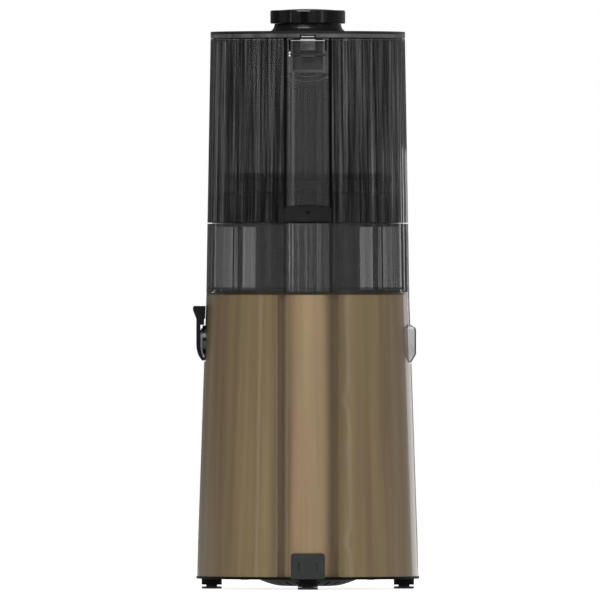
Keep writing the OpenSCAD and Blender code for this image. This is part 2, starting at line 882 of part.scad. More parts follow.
module dial() {
  color("#9a8660")
    translate([0, -dial_face_y, dial_z]) rotate([-90, 0, 0])
      difference() {
        union() {
          rotate_extrude() polygon([
            [0, 0],
            [dial_r - dial_round, 0],
            [dial_r - dial_round * round_share, dial_round * round_share],
            [dial_r, dial_round],
            [dial_r, dial_face_y - bezel_face_y + bezel_t - dial_gap],
            [0, dial_face_y - bezel_face_y + bezel_t - dial_gap]
          ]);
          cylinder(
            r = dial_shaft_r,
            h = dial_face_y - bezel_face_y + bezel_t + bezel_back_t + switch_t / 2 - dial_gap
          );
        }
        translate([0, -dial_r * (pointer_in_share + pointer_out_share) / 2, 0])
          cube([
            pointer_w, dial_r * (pointer_out_share - pointer_in_share), 2 * pointer_t
          ], center = true);
      }
}

module dial_pointer() {
  color("#f2f0ea")
    translate([
      0, -dial_face_y + pointer_t / 2,
      dial_z + dial_r * (pointer_in_share + pointer_out_share) / 2
    ])
      cube([
        pointer_w - snug, pointer_t, dial_r * (pointer_out_share - pointer_in_share) - snug
      ], center = true);
}

// End bracket of the motor, with its bearing seat on the side away from the stator
module bracket(z, seat_z, leg_z) {
  difference() {
    union() {
      translate([0, 0, z]) cylinder(r = bracket_r, h = bracket_t);
      ring_of(4, bolt_circle_r, rod_a) translate([0, 0, leg_z])
        cylinder(r = leg_r, h = coil_h + 2 * over);
    }
    translate([0, 0, z - over]) cylinder(r = rotor_shaft_r + over, h = bracket_t + 2 * over);
    translate([0, 0, seat_z]) cylinder(r = bearing_r + snug, h = bearing_h);
    ring_of(4, bolt_circle_r, rod_a) translate([0, 0, z - bracket_t - coil_h])
      cylinder(r = bolt_r + snug, h = body_h);
    ring_of(4, air_hole_circle_r) translate([0, 0, z - over])
      cylinder(r = air_hole_r, h = bracket_t + 2 * over);
    ring_of(3, case_screw_circle_r, deck_screw_a) {
      translate([0, 0, z - over]) cylinder(r = screw_r + snug, h = bracket_t + 2 * over);
      translate([0, 0, z - over]) cylinder(r = screw_head_r + snug, h = case_screw_sink + over);
    }
  }
}
module motor_lower_bracket() {
  color("#a7a9ab")
    bracket(
      lower_bracket_z, lower_bracket_z + bracket_t - bearing_h, stack_z - coil_h - 2 * over
    );
}
module motor_upper_bracket() {
  color("#a7a9ab")
    bracket(upper_bracket_z, upper_bracket_z + bracket_t - bearing_h, stack_z + stack_h);
}

module motor_bearings() {
  color("#d0d2d4")
    for (z = [lower_bracket_z, upper_bracket_z])
      translate([0, 0, z + bracket_t - bearing_h])
        tube(bearing_r, bearing_r - rotor_shaft_r - run_fit, bearing_h);
}

module motor_stator() {
  color("#5b5e61")
    translate([0, 0, stack_z]) linear_extrude(stack_h) difference() {
      circle(stator_r);
      circle(rotor_r + air_gap);
      ring_of(4, bolt_circle_r, rod_a) circle(bolt_r + snug);
      ring_of(pole_count, slot_in_r)
        translate([0, -slot_w / 2]) square([slot_out_r - slot_in_r, slot_w]);
    }
}

module motor_coils() {
  color("#a8622c") {
    for (z = [stack_z - coil_h, stack_z + stack_h])
      translate([0, 0, z]) tube(slot_out_r - snug, slot_out_r - slot_in_r - 2 * snug, coil_h);
    ring_of(pole_count, slot_in_r + snug)
      translate([over, -slot_w / 2 + snug, stack_z - over])
        cube([
          slot_out_r - slot_in_r - 2 * over, slot_w - 2 * snug, stack_h + 2 * over
        ]);
  }
}

module motor_bolts() {
  color("#b9bbbd")
    ring_of(4, bolt_circle_r, rod_a) {
      translate([0, 0, lower_bracket_z - nut_h]) cylinder(r = nut_r, h = nut_h, $fn = 6);
      translate([0, 0, lower_bracket_z - nut_h])
        cylinder(r = bolt_r, h = upper_bracket_z + bracket_t - lower_bracket_z + nut_h);
    }
}

module motor_rotor() {
  color("#6c6f72") {
    translate([0, 0, stack_z]) cylinder(r = rotor_r, h = stack_h);
    translate([0, 0, fan_z]) cylinder(r = rotor_shaft_r, h = stage_one_z + stage_one_w - fan_z);
    translate([0, 0, stage_one_z]) gear(pinion_teeth, 1, stage_one_w, 0);
  }
}

module cooling_fan() {
  color("#26282a")
    difference() {
      union() {
        translate([0, 0, fan_z]) cylinder(r = fan_hub_r, h = fan_h);
        translate([0, 0, fan_z]) tube(fan_r, blade_t, fan_h);
        ring_of(blade_count, fan_hub_r - over)
          translate([0, 0, fan_z + fan_h / 2]) rotate([fan_tilt, 0, 0])
            translate([0, -blade_t / 2, -fan_h * blade_rise_share])
              cube([fan_r - fan_hub_r, blade_t, fan_h * 2 * blade_rise_share]);
      }
      translate([0, 0, fan_z - over]) cylinder(r = rotor_shaft_r + snug, h = fan_h + 2 * over);
    }
}

module ear_places() { translate([case_x, 0, 0]) ring_of(4, ear_circle_r, ear_a) children(); }
module gearbox_case() {
  color("#8f9295")
    difference() {
      union() {
        translate([case_x, 0, case_z]) cylinder(r = case_r, h = cover_z - case_z);
        ear_places() translate([0, 0, case_z]) cylinder(r = ear_r, h = cover_z - case_z);
      }
      translate([case_x, 0, case_floor_z]) cylinder(r = case_in_r, h = body_h);
      translate([0, 0, case_z - over]) cylinder(r = bearing_r - over, h = case_floor_t + 2 * over);
      ear_places() translate([0, 0, case_z - over]) {
        cylinder(r = screw_r + snug, h = cover_z - case_z + 2 * over);
        cylinder(r = screw_head_r + snug, h = screw_head_h + over);
      }
      translate([centre_d, 0, case_z + over]) cylinder(r = pin_r + snug, h = case_floor_t);
      ring_of(3, case_screw_circle_r, deck_screw_a) translate([0, 0, case_z - over])
        cylinder(r = screw_r + snug, h = case_floor_t + 2 * over);
    }
}

module gearbox_cover() {
  color("#8f9295")
    difference() {
      union() {
        translate([case_x, 0, cover_z]) cylinder(r = case_r, h = cover_t);
        ear_places() translate([0, 0, cover_z]) cylinder(r = ear_r, h = cover_t);
        translate([0, 0, boss_z])
          cylinder(r = output_bearing_r + output_boss_wall, h = cover_top_z - boss_z);
      }
      translate([0, 0, boss_z - over]) cylinder(r = shaft_r + over, h = body_h);
      translate([0, 0, boss_z - over])
        cylinder(r = output_bearing_r + snug, h = output_bearing_h + over);
      translate([centre_d, 0, cover_z - over]) cylinder(r = pin_r + snug, h = cover_t);
      ear_places() translate([0, 0, cover_z - over])
        cylinder(r = screw_r + snug, h = cover_t);
      ring_of(3, deck_screw_circle_r, deck_screw_a)
        translate([0, 0, cover_z - over]) cylinder(r = screw_r + snug, h = cover_t + 2 * over);
    }
}

module gearbox_screws() {
  color("#b9bbbd")
    ear_places() translate([0, 0, case_z])
      screw(cover_z + cover_t - 2 * over - case_z - screw_head_h);
}

module case_screws() {
  color("#b9bbbd")
    ring_of(3, case_screw_circle_r, deck_screw_a)
      translate([0, 0, upper_bracket_z + case_screw_sink - screw_head_h])
        screw(bracket_t - case_screw_sink + case_floor_t - over / 2);
}

module layshaft_pin() {
  color("#c4c6c8")
    translate([centre_d, 0, case_z + over])
      cylinder(r = pin_r, h = cover_z + cover_t - case_z - 2 * over);
}

module layshaft_gear() {
  color("#caa85a")
    translate([centre_d, 0, 0]) difference() {
      union() {
        translate([0, 0, case_floor_z + thrust_gap])
          cylinder(r = hub_r, h = stage_one_z - case_floor_z);
        translate([0, 0, stage_one_z])
          gear(gear_teeth, gear_tip_share, stage_one_w, 180 + 180 / gear_teeth);
        translate([0, 0, stage_one_z + over])
          gear(pinion_teeth, 1, stage_two_z + stage_two_w - stage_one_z - over, 0);
        translate([0, 0, stage_two_z])
          cylinder(r = thin_hub_r, h = cover_z - thrust_gap - stage_two_z);
      }
      translate([0, 0, case_z]) cylinder(r = pin_r + run_fit, h = body_h);
    }
}

module output_gear() {
  color("#8d9093")
    difference() {
      union() {
        translate([0, 0, stage_two_z])
          gear(gear_teeth, gear_tip_share, stage_two_w, 180 / gear_teeth);
        translate([0, 0, stage_two_z]) cylinder(r = hub_r, h = boss_z - thrust_gap - stage_two_z);
      }
      translate([0, 0, stage_two_z - over]) cylinder(r = shaft_r + snug, h = body_h);
    }
}

module output_bearing() {
  color("#d0d2d4")
    translate([0, 0, boss_z])
      tube(output_bearing_r, output_bearing_r - shaft_r - run_fit, output_bearing_h);
}

module drive_shaft() {
  color("#c9cbcd") {
    translate([0, 0, stage_two_z - over]) cylinder(r = shaft_r, h = hex_z - stage_two_z + 2 * over);
    translate([0, 0, hex_z]) cylinder(r = hex_r, h = hex_top_z - hex_z, $fn = 6);
  }
}

// The pulp chute's outline across, and the space inside its slanted and rounded end
module pulp_section(grow) {
  round_rect(pulp_w + 2 * grow, pulp_h + 2 * grow, pulp_corner_r + grow);
}
module pulp_bar(x, l, grow) {
  translate([x, 0, pulp_z + pulp_h / 2]) rotate([90, 0, 90]) linear_extrude(l)
    pulp_section(grow);
}
module pulp_tube() {
  difference() {
    pulp_bar(outlet_in_x, pulp_x - outlet_in_x, 0);
    pulp_bar(outlet_in_x - over, pulp_x, -pulp_wall);
    translate([0, 0, drum_z - over]) cylinder(r = drum_in_r + snug, h = body_h);
  }
}
module pulp_end(x) {
  side_plate(concat(
    [[0, pulp_z - over], [x - pulp_slant_x, pulp_z - over], [x - pulp_slant_x, pulp_z],
      [x, pulp_z + pulp_slant_z]],
    [for (s = pulp_shares)
      [x - pulp_top_r * (1 - cos(90 * s)), pulp_z + pulp_h - pulp_top_r * (1 - sin(90 * s))]],
    [[x - pulp_top_r, pulp_z + pulp_h + over], [0, pulp_z + pulp_h + over]]
  ), pulp_w + 2 * over);
}

module drum() {
  color("#1c1d1e")
    difference() {
      union() {
        translate([0, 0, drum_z]) cylinder(r = drum_r, h = chamber_top_z - drum_z);
        translate([0, 0, chamber_z])
          cylinder(r = chamber_in_r(chamber_z) - snug, h = foot_flange_t);
        translate([0, 0, flange_z])
          cylinder(r = chamber_in_r(chamber_top_z) - snug, h = flange_t);
        for (x = [-1, 1], y = [-1, 1])
          translate([x * pillar_x, y * pillar_y, chamber_z])
            cylinder(r = pillar_r, h = chamber_h);
      }
      difference() {
        translate([0, 0, drum_floor_z]) cylinder(r = drum_in_r, h = body_h);
        translate([0, 0, drum_z]) cylinder(r = hub_bore_r + hub_wall, h = drum_floor_t + hub_h);
      }
      translate([0, 0, drum_z - over]) cylinder(r = hub_bore_r, h = body_h);
      translate([0, 0, juice_z]) along_x(juice_r + snug, through);
      rotate([0, 0, 180]) pulp_bar(outlet_in_x, through, snug);
      translate([0, 0, chamber_top_z - gasket_t])
        tube(gasket_r + gasket_w, gasket_w, gasket_t + over);
    }
}

// A skirt of the chamber that closes a slot of the body, flush with the shell
module skirt(w, z) {
  intersection() {
    union() {
      cone_ring(shell_z, chamber_z, body_base_r, body_r(chamber_z), skirt_t);
      translate([0, 0, shell_top_z])
        tube(
          body_top_r - flute_d - fit, skirt_t - flute_d,
          chamber_z + shell_ledge_t - shell_top_z
        );
    }
    translate([0, -w / 2 + slot_gap, z + slot_gap])
      cube([through, w - 2 * slot_gap, chamber_z + shell_ledge_t - z - slot_gap]);
  }
}
module fluted(z0, z1, r0, r1) {
  translate([0, 0, z0]) linear_extrude(z1 - z0, scale = r1 / r0, slices = 1)
    polygon(outline(r0));
}
module chamber_shell() {
  color("#3a3c3d") {
    difference() {
      fluted(chamber_z, chamber_top_z, body_top_r, seam_r);
      translate([0, 0, chamber_z - over])
        cylinder(
          r1 = chamber_in_r(chamber_z - over), r2 = chamber_in_r(chamber_top_z + over),
          h = chamber_h + 2 * over
        );
    }
    translate([0, 0, chamber_z + foot_flange_t + snug])
      tube(chamber_in_r(chamber_z) + over, shell_ledge + over, shell_ledge_t);
    difference() {
      skirt(juice_slot_w, juice_slot_z);
      translate([0, 0, juice_z]) along_x(juice_r + snug, through);
      for (y = [-1, 1])
        translate([juice_pin_x, y * (ear_w + body_wall) / 2 + y * juice_cap_w / 2, juice_pin_z])
          along_y(knuckle_r + fit, juice_cap_w + body_wall);
    }
    difference() {
      union() {
        translate([juice_pin_x, 0, juice_pin_z]) along_y(knuckle_r, ear_w);
        translate([juice_pin_x - knuckle_r - snug, -ear_w / 2, juice_pin_z - knuckle_r])
          cube([knuckle_r + snug, ear_w, 2 * knuckle_r]);
      }
      translate([juice_pin_x, 0, juice_pin_z]) along_y(juice_pin_r + snug / 2, 2 * ear_w);
    }
    rotate([0, 0, 180]) difference() {
      skirt(pulp_slot_w, pulp_z + pulp_h / 2);
      pulp_bar(0, through, snug);
    }
  }
}

module hub_gasket() {
  color("#2a2a2a")
    translate([0, 0, drum_z])
      tube(hub_bore_r - snug, hub_bore_r - snug - hex_r - fit, drum_floor_t);
}

module seam_gasket() {
  color("#2a2a2a")
    translate([0, 0, chamber_top_z - gasket_t])
      tube(gasket_r + gasket_w - snug, gasket_w - 2 * snug, gasket_t + fit / 2);
}

// Outside of the space swept by the juice cap's inner face, as seen along Y
function bend_points(t) = [
  for (k = [0:bend_steps])
    let (a = -bend_end_a * (1 - k / bend_steps))
    [bend_x + (bend_in - t) * cos(a), bend_z + (bend_h - t * bend_thin_share) * sin(a)]
];
module juice_spout() {
  color("#6a6d6e")
    difference() {
      translate([outlet_in_x, 0, juice_z]) along_x(juice_r, juice_mouth_x - outlet_in_x);
      translate([0, 0, juice_z]) along_x(juice_bore_r, through);
      translate([0, 0, drum_z]) cylinder(r = drum_in_r + snug, h = drum_depth);
      side_plate(concat(
        [[bend_x, bend_z - 2 * bend_h]],
        bend_points(lever_t + pad_t + fit),
        [[bend_x + 2 * bend_in, bend_z], [bend_x + 2 * bend_in, bend_z - 2 * bend_h]]
      ), 2 * juice_cap_w);
    }
}

module juice_pin() {
  color("#c4c6c8")
    translate([juice_pin_x, 0, juice_pin_z]) along_y(juice_pin_r, juice_cap_w - 2 * fit);
}

module juice_cap() {
  color("#0f0f10")
    difference() {
      union() {
        side_plate(concat(
          bend_points(0),
          [
            [lever_x, lever_top_z - tab_h],
            [lever_x + tab_out, lever_top_z - tab_nose_h],
            [lever_x + tab_out, lever_top_z - tab_round],
            [
              lever_x + tab_out - tab_round * round_share,
              lever_top_z - tab_round * round_share
            ],
            [lever_x + tab_out - tab_round, lever_top_z],
            [tab_in_x, lever_top_z],
            [tab_in_x + tab_lean, lever_top_z - tab_h],
            [lever_x - tab_foot_in, lever_top_z - tab_h],
            [lever_x - tab_foot_in, lever_top_z - tab_h - tab_foot_h],
            [lever_x - lever_t, lever_top_z - tab_h - tab_foot_h]
          ],
          [for (k = [bend_steps:-1:0]) bend_points(lever_t)[k]]
        ), juice_cap_w);
        translate([juice_pin_x, 0, juice_pin_z]) along_y(knuckle_r, juice_cap_w);
        translate([juice_mouth_x - plug_in, 0, juice_z])
          along_x(juice_bore_r - seal_t - fit, lever_x - over - juice_mouth_x + plug_in);
      }
      translate([juice_pin_x, 0, juice_pin_z]) along_y(knuckle_r + fit, ear_w + 2 * fit);
      translate([juice_pin_x, 0, juice_pin_z]) along_y(juice_pin_r + run_fit, 2 * juice_cap_w);
    }
}

module juice_seal() {
  color("#8a868c") {
    difference() {
      translate([juice_mouth_x - plug_in + over / 2, 0, juice_z]) rotate([0, 90, 0])
        tube(juice_bore_r - fit, seal_t - snug, lever_x - lever_t - juice_mouth_x + plug_in - over);
      side_plate(concat(
        bend_points(lever_t + snug), [[lever_x, bend_z], [lever_x, bend_z - bend_h]]
      ), pad_w);
    }
    difference() {
      side_plate(concat(
        bend_points(lever_t + snug),
        [
          [lever_x - lever_t - snug, juice_pin_z + pad_top],
          [lever_x - lever_t - snug - pad_t, juice_pin_z + pad_top]
        ],
        [for (k = [bend_steps:-1:0]) bend_points(lever_t + snug + pad_t)[k]]
      ), pad_w);
      translate([0, 0, juice_z]) along_x(juice_bore_r - fit - seal_t / 2, through);
      translate([juice_pin_x, 0, juice_pin_z]) along_y(knuckle_r + fit, 2 * pad_w);
    }
  }
}

module pulp_chute() {
  color("#9da1a2")
    rotate([0, 0, 180]) intersection() {
      pulp_tube();
      pulp_end(pulp_x - pulp_lip_t);
    }
}

module pulp_lip() {
  color("#101010")
    rotate([0, 0, 180]) difference() {
      intersection() {
        pulp_tube();
        pulp_end(pulp_x);
      }
      pulp_end(pulp_x - pulp_lip_t);
    }
}

module strainer() {
  color("#8e9194")
    difference() {
      union() {
        translate([0, 0, strainer_z])
          tube(strainer_r, strainer_wall, strainer_top_z - strainer_z);
        translate([0, 0, strainer_top_z - strainer_flange_t])
          tube(drum_in_r - snug, drum_in_r - snug - strainer_r + strainer_wall,
            strainer_flange_t);
      }
      ring_of(strainer_slots, strainer_r - strainer_wall - over, 180 / strainer_slots)
        translate([0, -strainer_slot_w / 2, strainer_z + 2 * strainer_band_h])
          cube([
            strainer_wall + 2 * over, strainer_slot_w,
            strainer_top_z - strainer_z - 3 * strainer_band_h
          ]);
      translate([-strainer_r - over, -pulp_w / 2 + pulp_wall, strainer_z + over])
        cube([strainer_r, pulp_w - 2 * pulp_wall, strainer_band_h + over]);
    }
}

function sector(r, a, n) = concat([[0, 0]], [for (k = [0:n]) polar(r, a * k / n)]);
module auger() {
  color("#26282a")
    difference() {
      union() {
        translate([0, 0, auger_z])
          cylinder(r1 = auger_base_r, r2 = auger_top_r, h = auger_top_z - auger_z);
        translate([0, 0, auger_z])
          linear_extrude(auger_top_z - auger_z, twist = -360 * auger_turns, slices = auger_slices)
            polygon(sector(auger_flight_r, flight_a, flight_steps));
        translate([0, 0, auger_top_z - over]) cylinder(r = tang_r, h = tang_h + over, $fn = 6);
      }
      translate([0, 0, auger_z - over])
        cylinder(r = hub_bore_r + hub_wall + 2 * fit, h = hub_h + over);
      translate([0, 0, auger_z - over])
        cylinder(r = hex_r + hex_fit, h = hex_top_z + over - auger_z + over, $fn = 6);
    }
}

module hopper_shell() {
  color("#3a3c3d")
    difference() {
      union() {
        fluted(hopper_z, hopper_top_z - plain_rim_h, seam_r, hopper_r(hopper_top_z - plain_rim_h));
        translate([0, 0, hopper_top_z - plain_rim_h])
          cylinder(
            r1 = hopper_r(hopper_top_z - plain_rim_h), r2 = hopper_top_r, h = plain_rim_h
          );
      }
      translate([0, 0, hopper_z - over])
        cylinder(
          r1 = hopper_in_r(hopper_z - over), r2 = hopper_in_r(hopper_top_z + over),
          h = hopper_h + 2 * over
        );
      translate([-pocket_w / 2 - snug, 0, pocket_z - snug])
        cube([pocket_w + 2 * snug, through, pocket_h + over]);
      intersection() {
        translate([-latch_w / 2 - latch_gap, 0, hopper_z - over])
          cube([latch_w + 2 * latch_gap, through, latch_h + latch_up + latch_gap + over]);
        translate([0, seam_r, latch_z + latch_h - latch_arch_r])
          along_y(latch_arch_r + latch_gap, seam_r);
      }
    }
}

module hopper_bowl() {
  color("#17181a") {
    rotate_extrude() polygon([
      [funnel_r(hopper_seat_z + 2 * over), hopper_seat_z + 2 * over],
      [bowl_out_r, bowl_z],
      [hopper_in_r(bowl_z + bowl_rim_h) - snug, bowl_z],
      [hopper_in_r(bowl_z + bowl_rim_h) - snug, bowl_z + bowl_rim_h],
      [hopper_in_r(bowl_z + bowl_rim_h) - bowl_rim_wall, bowl_z + bowl_rim_h],
      [hopper_in_r(bowl_z + bowl_rim_h) - 2 * bowl_rim_wall, bowl_z + bowl_wall],
      [bowl_out_r - bowl_wall / 2, bowl_z + bowl_wall],
      [funnel_r(hopper_seat_z + 2 * over) - bowl_wall, hopper_seat_z + 2 * over]
    ]);
    for (x = [-1, 1], y = [-1, 1])
      translate([x * post_x, y * post_y, lock_top_z])
        cylinder(r = post_r, h = bowl_z - lock_top_z + over);
  }
}

module lock_ring() {
  color("#101112")
    difference() {
      rotate_extrude() polygon([
        [throat_r + snug, hopper_seat_z],
        [throat_r + lock_foot_w, hopper_seat_z],
        [funnel_r(lock_top_z) + lock_wall, lock_top_z - lock_wall],
        [hopper_in_r(lock_top_z) - lock_side_wall, lock_top_z - lock_wall],
        [hopper_in_r(lock_top_z) - lock_side_wall, hopper_seat_z],
        [hopper_in_r(hopper_z) - snug, hopper_seat_z],
        [hopper_in_r(hopper_z) - snug, hopper_z],
        [hopper_in_r(lock_top_z) - snug, lock_top_z],
        [funnel_r(lock_top_z) + snug, lock_top_z]
      ]);
      translate([
        -latch_w / 2 - latch_gap, latch_back_y - latch_travel - latch_gap,
        hopper_seat_z - over
      ])
        cube([latch_w + 2 * latch_gap, through, latch_h + latch_up + latch_gap + 2 * over]);
      for (x = [-1, 1])
        translate([x * peg_x, hopper_in_r(hopper_z), latch_z + latch_h / 2 - over])
          along_y(peg_r + run_fit, 2 * hopper_in_r(hopper_z) - 2 * bowl_out_r);
    }
}

module cutting_wing() {
  color("#5c5f62")
    difference() {
      union() {
        translate([0, 0, wing_z]) cylinder(r = wing_disc_r, h = wing_disc_t);
        translate([0, 0, wing_z]) cylinder(r = wing_hub_r, h = wing_hub_h);
        ring_of(2, 0) translate([0, 0, wing_z]) linear_extrude(wing_blade_h) difference() {
          translate([wing_blade_r - wing_blade_t, 0]) circle(wing_blade_r);
          translate([wing_blade_r - wing_blade_t, 0]) circle(wing_blade_r - wing_blade_t);
          translate([-wing_disc_r, -2 * wing_disc_r]) square(2 * wing_disc_r);
        }
      }
      translate([0, 0, wing_z - over])
        cylinder(r = tang_r + hex_fit, h = auger_top_z + tang_h + over - wing_z + over, $fn = 6);
    }
}

module latch() {
  color("#0c0c0d")
    difference() {
      union() {
        intersection() {
          cone_ring(
            latch_z - over, latch_z + latch_h + over, hopper_r(latch_z) - latch_sink,
            hopper_r(latch_z + latch_h) - latch_sink, latch_t
          );
          translate([-latch_w / 2, 0, latch_z]) cube([latch_w, through, latch_h]);
          translate([0, seam_r, latch_z + latch_h - latch_arch_r])
            along_y(latch_arch_r, seam_r);
        }
        for (x = [-1, 1])
          translate([
            x * peg_x, hopper_r(latch_z) - latch_sink - latch_t - peg_l / 2 + over / 2,
            latch_z + latch_h / 2 - over
          ])
            along_y(peg_r, peg_l + over);
      }
      translate([0, hopper_r(latch_z) - latch_sink, latch_z + latch_h / 2]) rotate([90, 0, 0])
        linear_extrude(2 * mark_t, center = true)
          polygon([[-mark_w / 2, mark_h / 2], [0, -mark_h / 2], [mark_w / 2, mark_h / 2]]);
    }
}

module latch_mark() {
  color("#5a5c5e")
    translate([0, hopper_r(latch_z) - latch_sink - snug, latch_z + latch_h / 2]) rotate([90, 0, 0])
      linear_extrude(mark_t - snug)
        polygon([
          [-mark_w / 2 + snug, mark_h / 2 - snug / 2], [0, -mark_h / 2 + snug],
          [mark_w / 2 - snug, mark_h / 2 - snug / 2]
        ]);
}

module hinge_pocket() {
  color("#2c2e2f")
    difference() {
      intersection() {
        translate([-pocket_w / 2, pocket_y, pocket_z]) cube([pocket_w, pocket_in, pocket_h - fit]);
        translate([0, 0, pocket_z - over])
          cylinder(r = hopper_top_r - 2 * fit, h = pocket_h + 2 * over);
      }
      translate([-pocket_w / 2 + pocket_wall, pocket_y + pocket_wall, pocket_z + pocket_wall])
        cube([pocket_w - 2 * pocket_wall, through, pocket_h]);
      translate([-pocket_w / 2 - over, hinge_y, hinge_z])
        along_x(hinge_pin_r + snug / 2, pocket_w + 2 * over);
    }
}

module hinge_pin() {
  color("#c9cbcd")
    translate([-pocket_w / 2 + snug, hinge_y, hinge_z]) along_x(hinge_pin_r, pocket_w - 2 * snug);
}

module lid() {
  color("#4a4c4d")
    difference() {
      union() {
        rotate_extrude() polygon(concat(
          [
            [chute_r, lid_top_z - lid_top_t],
            [hopper_top_r - lid_wall, lid_top_z - lid_top_t],
            [hopper_top_r - lid_wall, lid_z],
            [hopper_top_r, lid_z],
            [hopper_top_r, lid_top_z]
          ],
          [for (s = collar_shares)
            [chute_r + collar_wall + collar_flare * (1 - sin(90 * s)),
              lid_top_z + collar_h * (1 - cos(90 * s))]],
          [[chute_r, collar_top_z]]
        ));
        translate([-arm_w / 2, hinge_y - arm_t / 2, hinge_z])
          cube([arm_w, arm_t, lid_top_z - lid_top_t + over / 2 - hinge_z]);
        translate([-arm_w / 2, hinge_y, hinge_z]) along_x(arm_knuckle_r, arm_w);
      }
      translate([-arm_w, hinge_y, hinge_z]) along_x(hinge_pin_r + run_fit, 2 * arm_w);
    }
}

module lid_gasket() {
  color("#2a2a2a")
    difference() {
      translate([0, 0, hopper_top_z + lid_gasket_lift])
        tube(hopper_top_r - lid_wall - snug, lid_gasket_w,
          lid_top_z - lid_top_t - hopper_top_z - lid_gasket_lift);
      translate([-arm_w / 2 - snug, 0, hopper_top_z])
        cube([arm_w + 2 * snug, through, pocket_h]);
    }
}

module chute_cap() {
  color("#0d0d0e")
    rotate_extrude() polygon([
      [0, cap_top_z - disc_sink],
      [disc_r + snug, cap_top_z - disc_sink],
      [disc_r + snug, cap_top_z],
      [cap_r - cap_round, cap_top_z],
      [cap_r - cap_round * round_share, cap_top_z - cap_round * round_share],
      [cap_r, cap_top_z - cap_round],
      [cap_r, cap_z + cap_round / 2],
      [cap_r - cap_round / 2, cap_z],
      [cap_r - cap_wall, cap_z],
      [plug_r, cap_z],
      [plug_r, cap_z - plug_drop],
      [plug_r - plug_wall, cap_z - plug_drop],
      [plug_r - plug_wall, cap_top_z - disc_sink - cap_wall],
      [0, cap_top_z - disc_sink - cap_wall]
    ]);
}

module cap_disc() {
  color("#b79a78")
    translate([0, 0, cap_top_z - disc_sink]) rotate_extrude() polygon(concat(
      [[0, 0], [disc_r, 0]],
      [for (s = disc_shares)
        [disc_r * s, disc_edge_h + disc_dome_h * (1 - s * s)]]
    ));
}

module cap_seal() {
  color("#2b2b2b")
    translate([0, 0, cap_z - cap_seal_up])
      tube(chute_r - fit, plug_gap - fit - snug, cap_seal_h);
}

body_shell();
base_plate();
foot_pads();
base_screws();
tie_rods();
deck();
deck_screws();
shaft_seal();
inlet_plate();
inlet_socket();
inlet_contacts();
control_board();
rotary_switch();
dial_bezel();
dial();
dial_pointer();
motor_lower_bracket();
motor_upper_bracket();
motor_bearings();
motor_stator();
motor_coils();
motor_bolts();
motor_rotor();
cooling_fan();
gearbox_case();
gearbox_cover();
gearbox_screws();
case_screws();
layshaft_pin();
layshaft_gear();
output_gear();
output_bearing();
drive_shaft();
drum();
chamber_shell();
hub_gasket();
seam_gasket();
juice_spout();
juice_pin();
juice_cap();
juice_seal();
pulp_chute();
pulp_lip();
strainer();
auger();
hopper_shell();
hopper_bowl();
lock_ring();
cutting_wing();
latch();
latch_mark();
hinge_pocket();
hinge_pin();
lid();
lid_gasket();
chute_cap();
cap_disc();
cap_seal();
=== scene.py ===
"""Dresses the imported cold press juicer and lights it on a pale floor.

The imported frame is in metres: +Z up, +Y the back with the spine and the hinge, -Y the control
dial, +X the juice outlet. The named sizes of trim and tones below are in millimetres.
"""

import math

import bpy
from bpy.props import FloatProperty, FloatVectorProperty, IntProperty, PointerProperty
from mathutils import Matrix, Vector


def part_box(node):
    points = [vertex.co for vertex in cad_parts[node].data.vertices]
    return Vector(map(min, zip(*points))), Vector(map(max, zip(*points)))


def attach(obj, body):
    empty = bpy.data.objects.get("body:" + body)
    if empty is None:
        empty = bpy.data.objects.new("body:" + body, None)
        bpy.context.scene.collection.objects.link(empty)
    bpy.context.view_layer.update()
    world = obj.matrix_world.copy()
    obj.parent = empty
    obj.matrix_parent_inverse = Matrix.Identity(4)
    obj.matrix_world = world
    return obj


bl_info = {
    "name": "Cold press juicer finish",
    "version": (1, 0, 0),
    "blender": (4, 5, 0),
    "location": "3D View > Sidebar > Juicer",
    "description": "Finishes, trim pieces and studio for the cold press juicer",
    "category": "Object",
}

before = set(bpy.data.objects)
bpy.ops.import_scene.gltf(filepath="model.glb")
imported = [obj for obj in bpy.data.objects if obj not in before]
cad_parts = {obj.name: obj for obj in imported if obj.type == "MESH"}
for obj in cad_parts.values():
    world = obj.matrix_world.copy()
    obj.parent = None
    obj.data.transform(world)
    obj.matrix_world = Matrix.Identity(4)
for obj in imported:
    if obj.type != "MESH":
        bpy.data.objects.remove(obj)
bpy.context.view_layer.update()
MM = 0.001

# The reeds round the hopper and chamber, then half the plain spine between them and half the
# painted shade line at its edge, in degrees.
REEDS = 37
SPINE_HALF = 13.5
SEAM_SHADE_HALF = 0.9

# Painted light on the lacquer's back at these distances from the spine's middle line: a painted
# highlight on the spine, painted shade in the two grooves beside it and darker towards the sides.
# The front has one tone.
GROOVE_SPAN = 100
PAINTED_LIGHT_TONES = (
    (10, "#ffffff"), (16, "#e8ebe1"), (20.8, "#878983"), (25.2, "#afb1aa"),
    (34, "#e4e8de"), (62, "#dee2d8"), (88, "#c6c9c0"),
)
FRONT_TONE = "#e0e4da"

# The bowl's tone from these heights upwards: its foot, its throat, the rim band, the funnel.
BOWL_FOOT = 300
BOWL_SPAN = 100
BOWL_TONES = ((300, "#262626"), (342.9, "#8a8a8a"), (350.8, "#050505"), (358.3, "#8c8c8c"))

# The lid's paler rim, from below to above the hinge pocket's top.
RIM_LOW = -0.7
RIM_HIGH = 3.9

# Edges steeper than these angles, in degrees, are bevelled or kept sharp.
BEVEL_ANGLE = 40
SHARP_ANGLE = 35
WALL_SHARP_ANGLE = 30

# A face looks to the back when the Y of its normal is over this.
FACING_BACK = 0.9

# The spine channel: its face behind the hinge pocket's inner wall, its depth, gaps and edges.
CHANNEL_REACH = 4.4
CHANNEL_DEPTH = 9.9
CHANNEL_FOOT_GAP = 0.4
CHANNEL_TOP_GAP = 0.2
CHANNEL_EDGE = 0.7

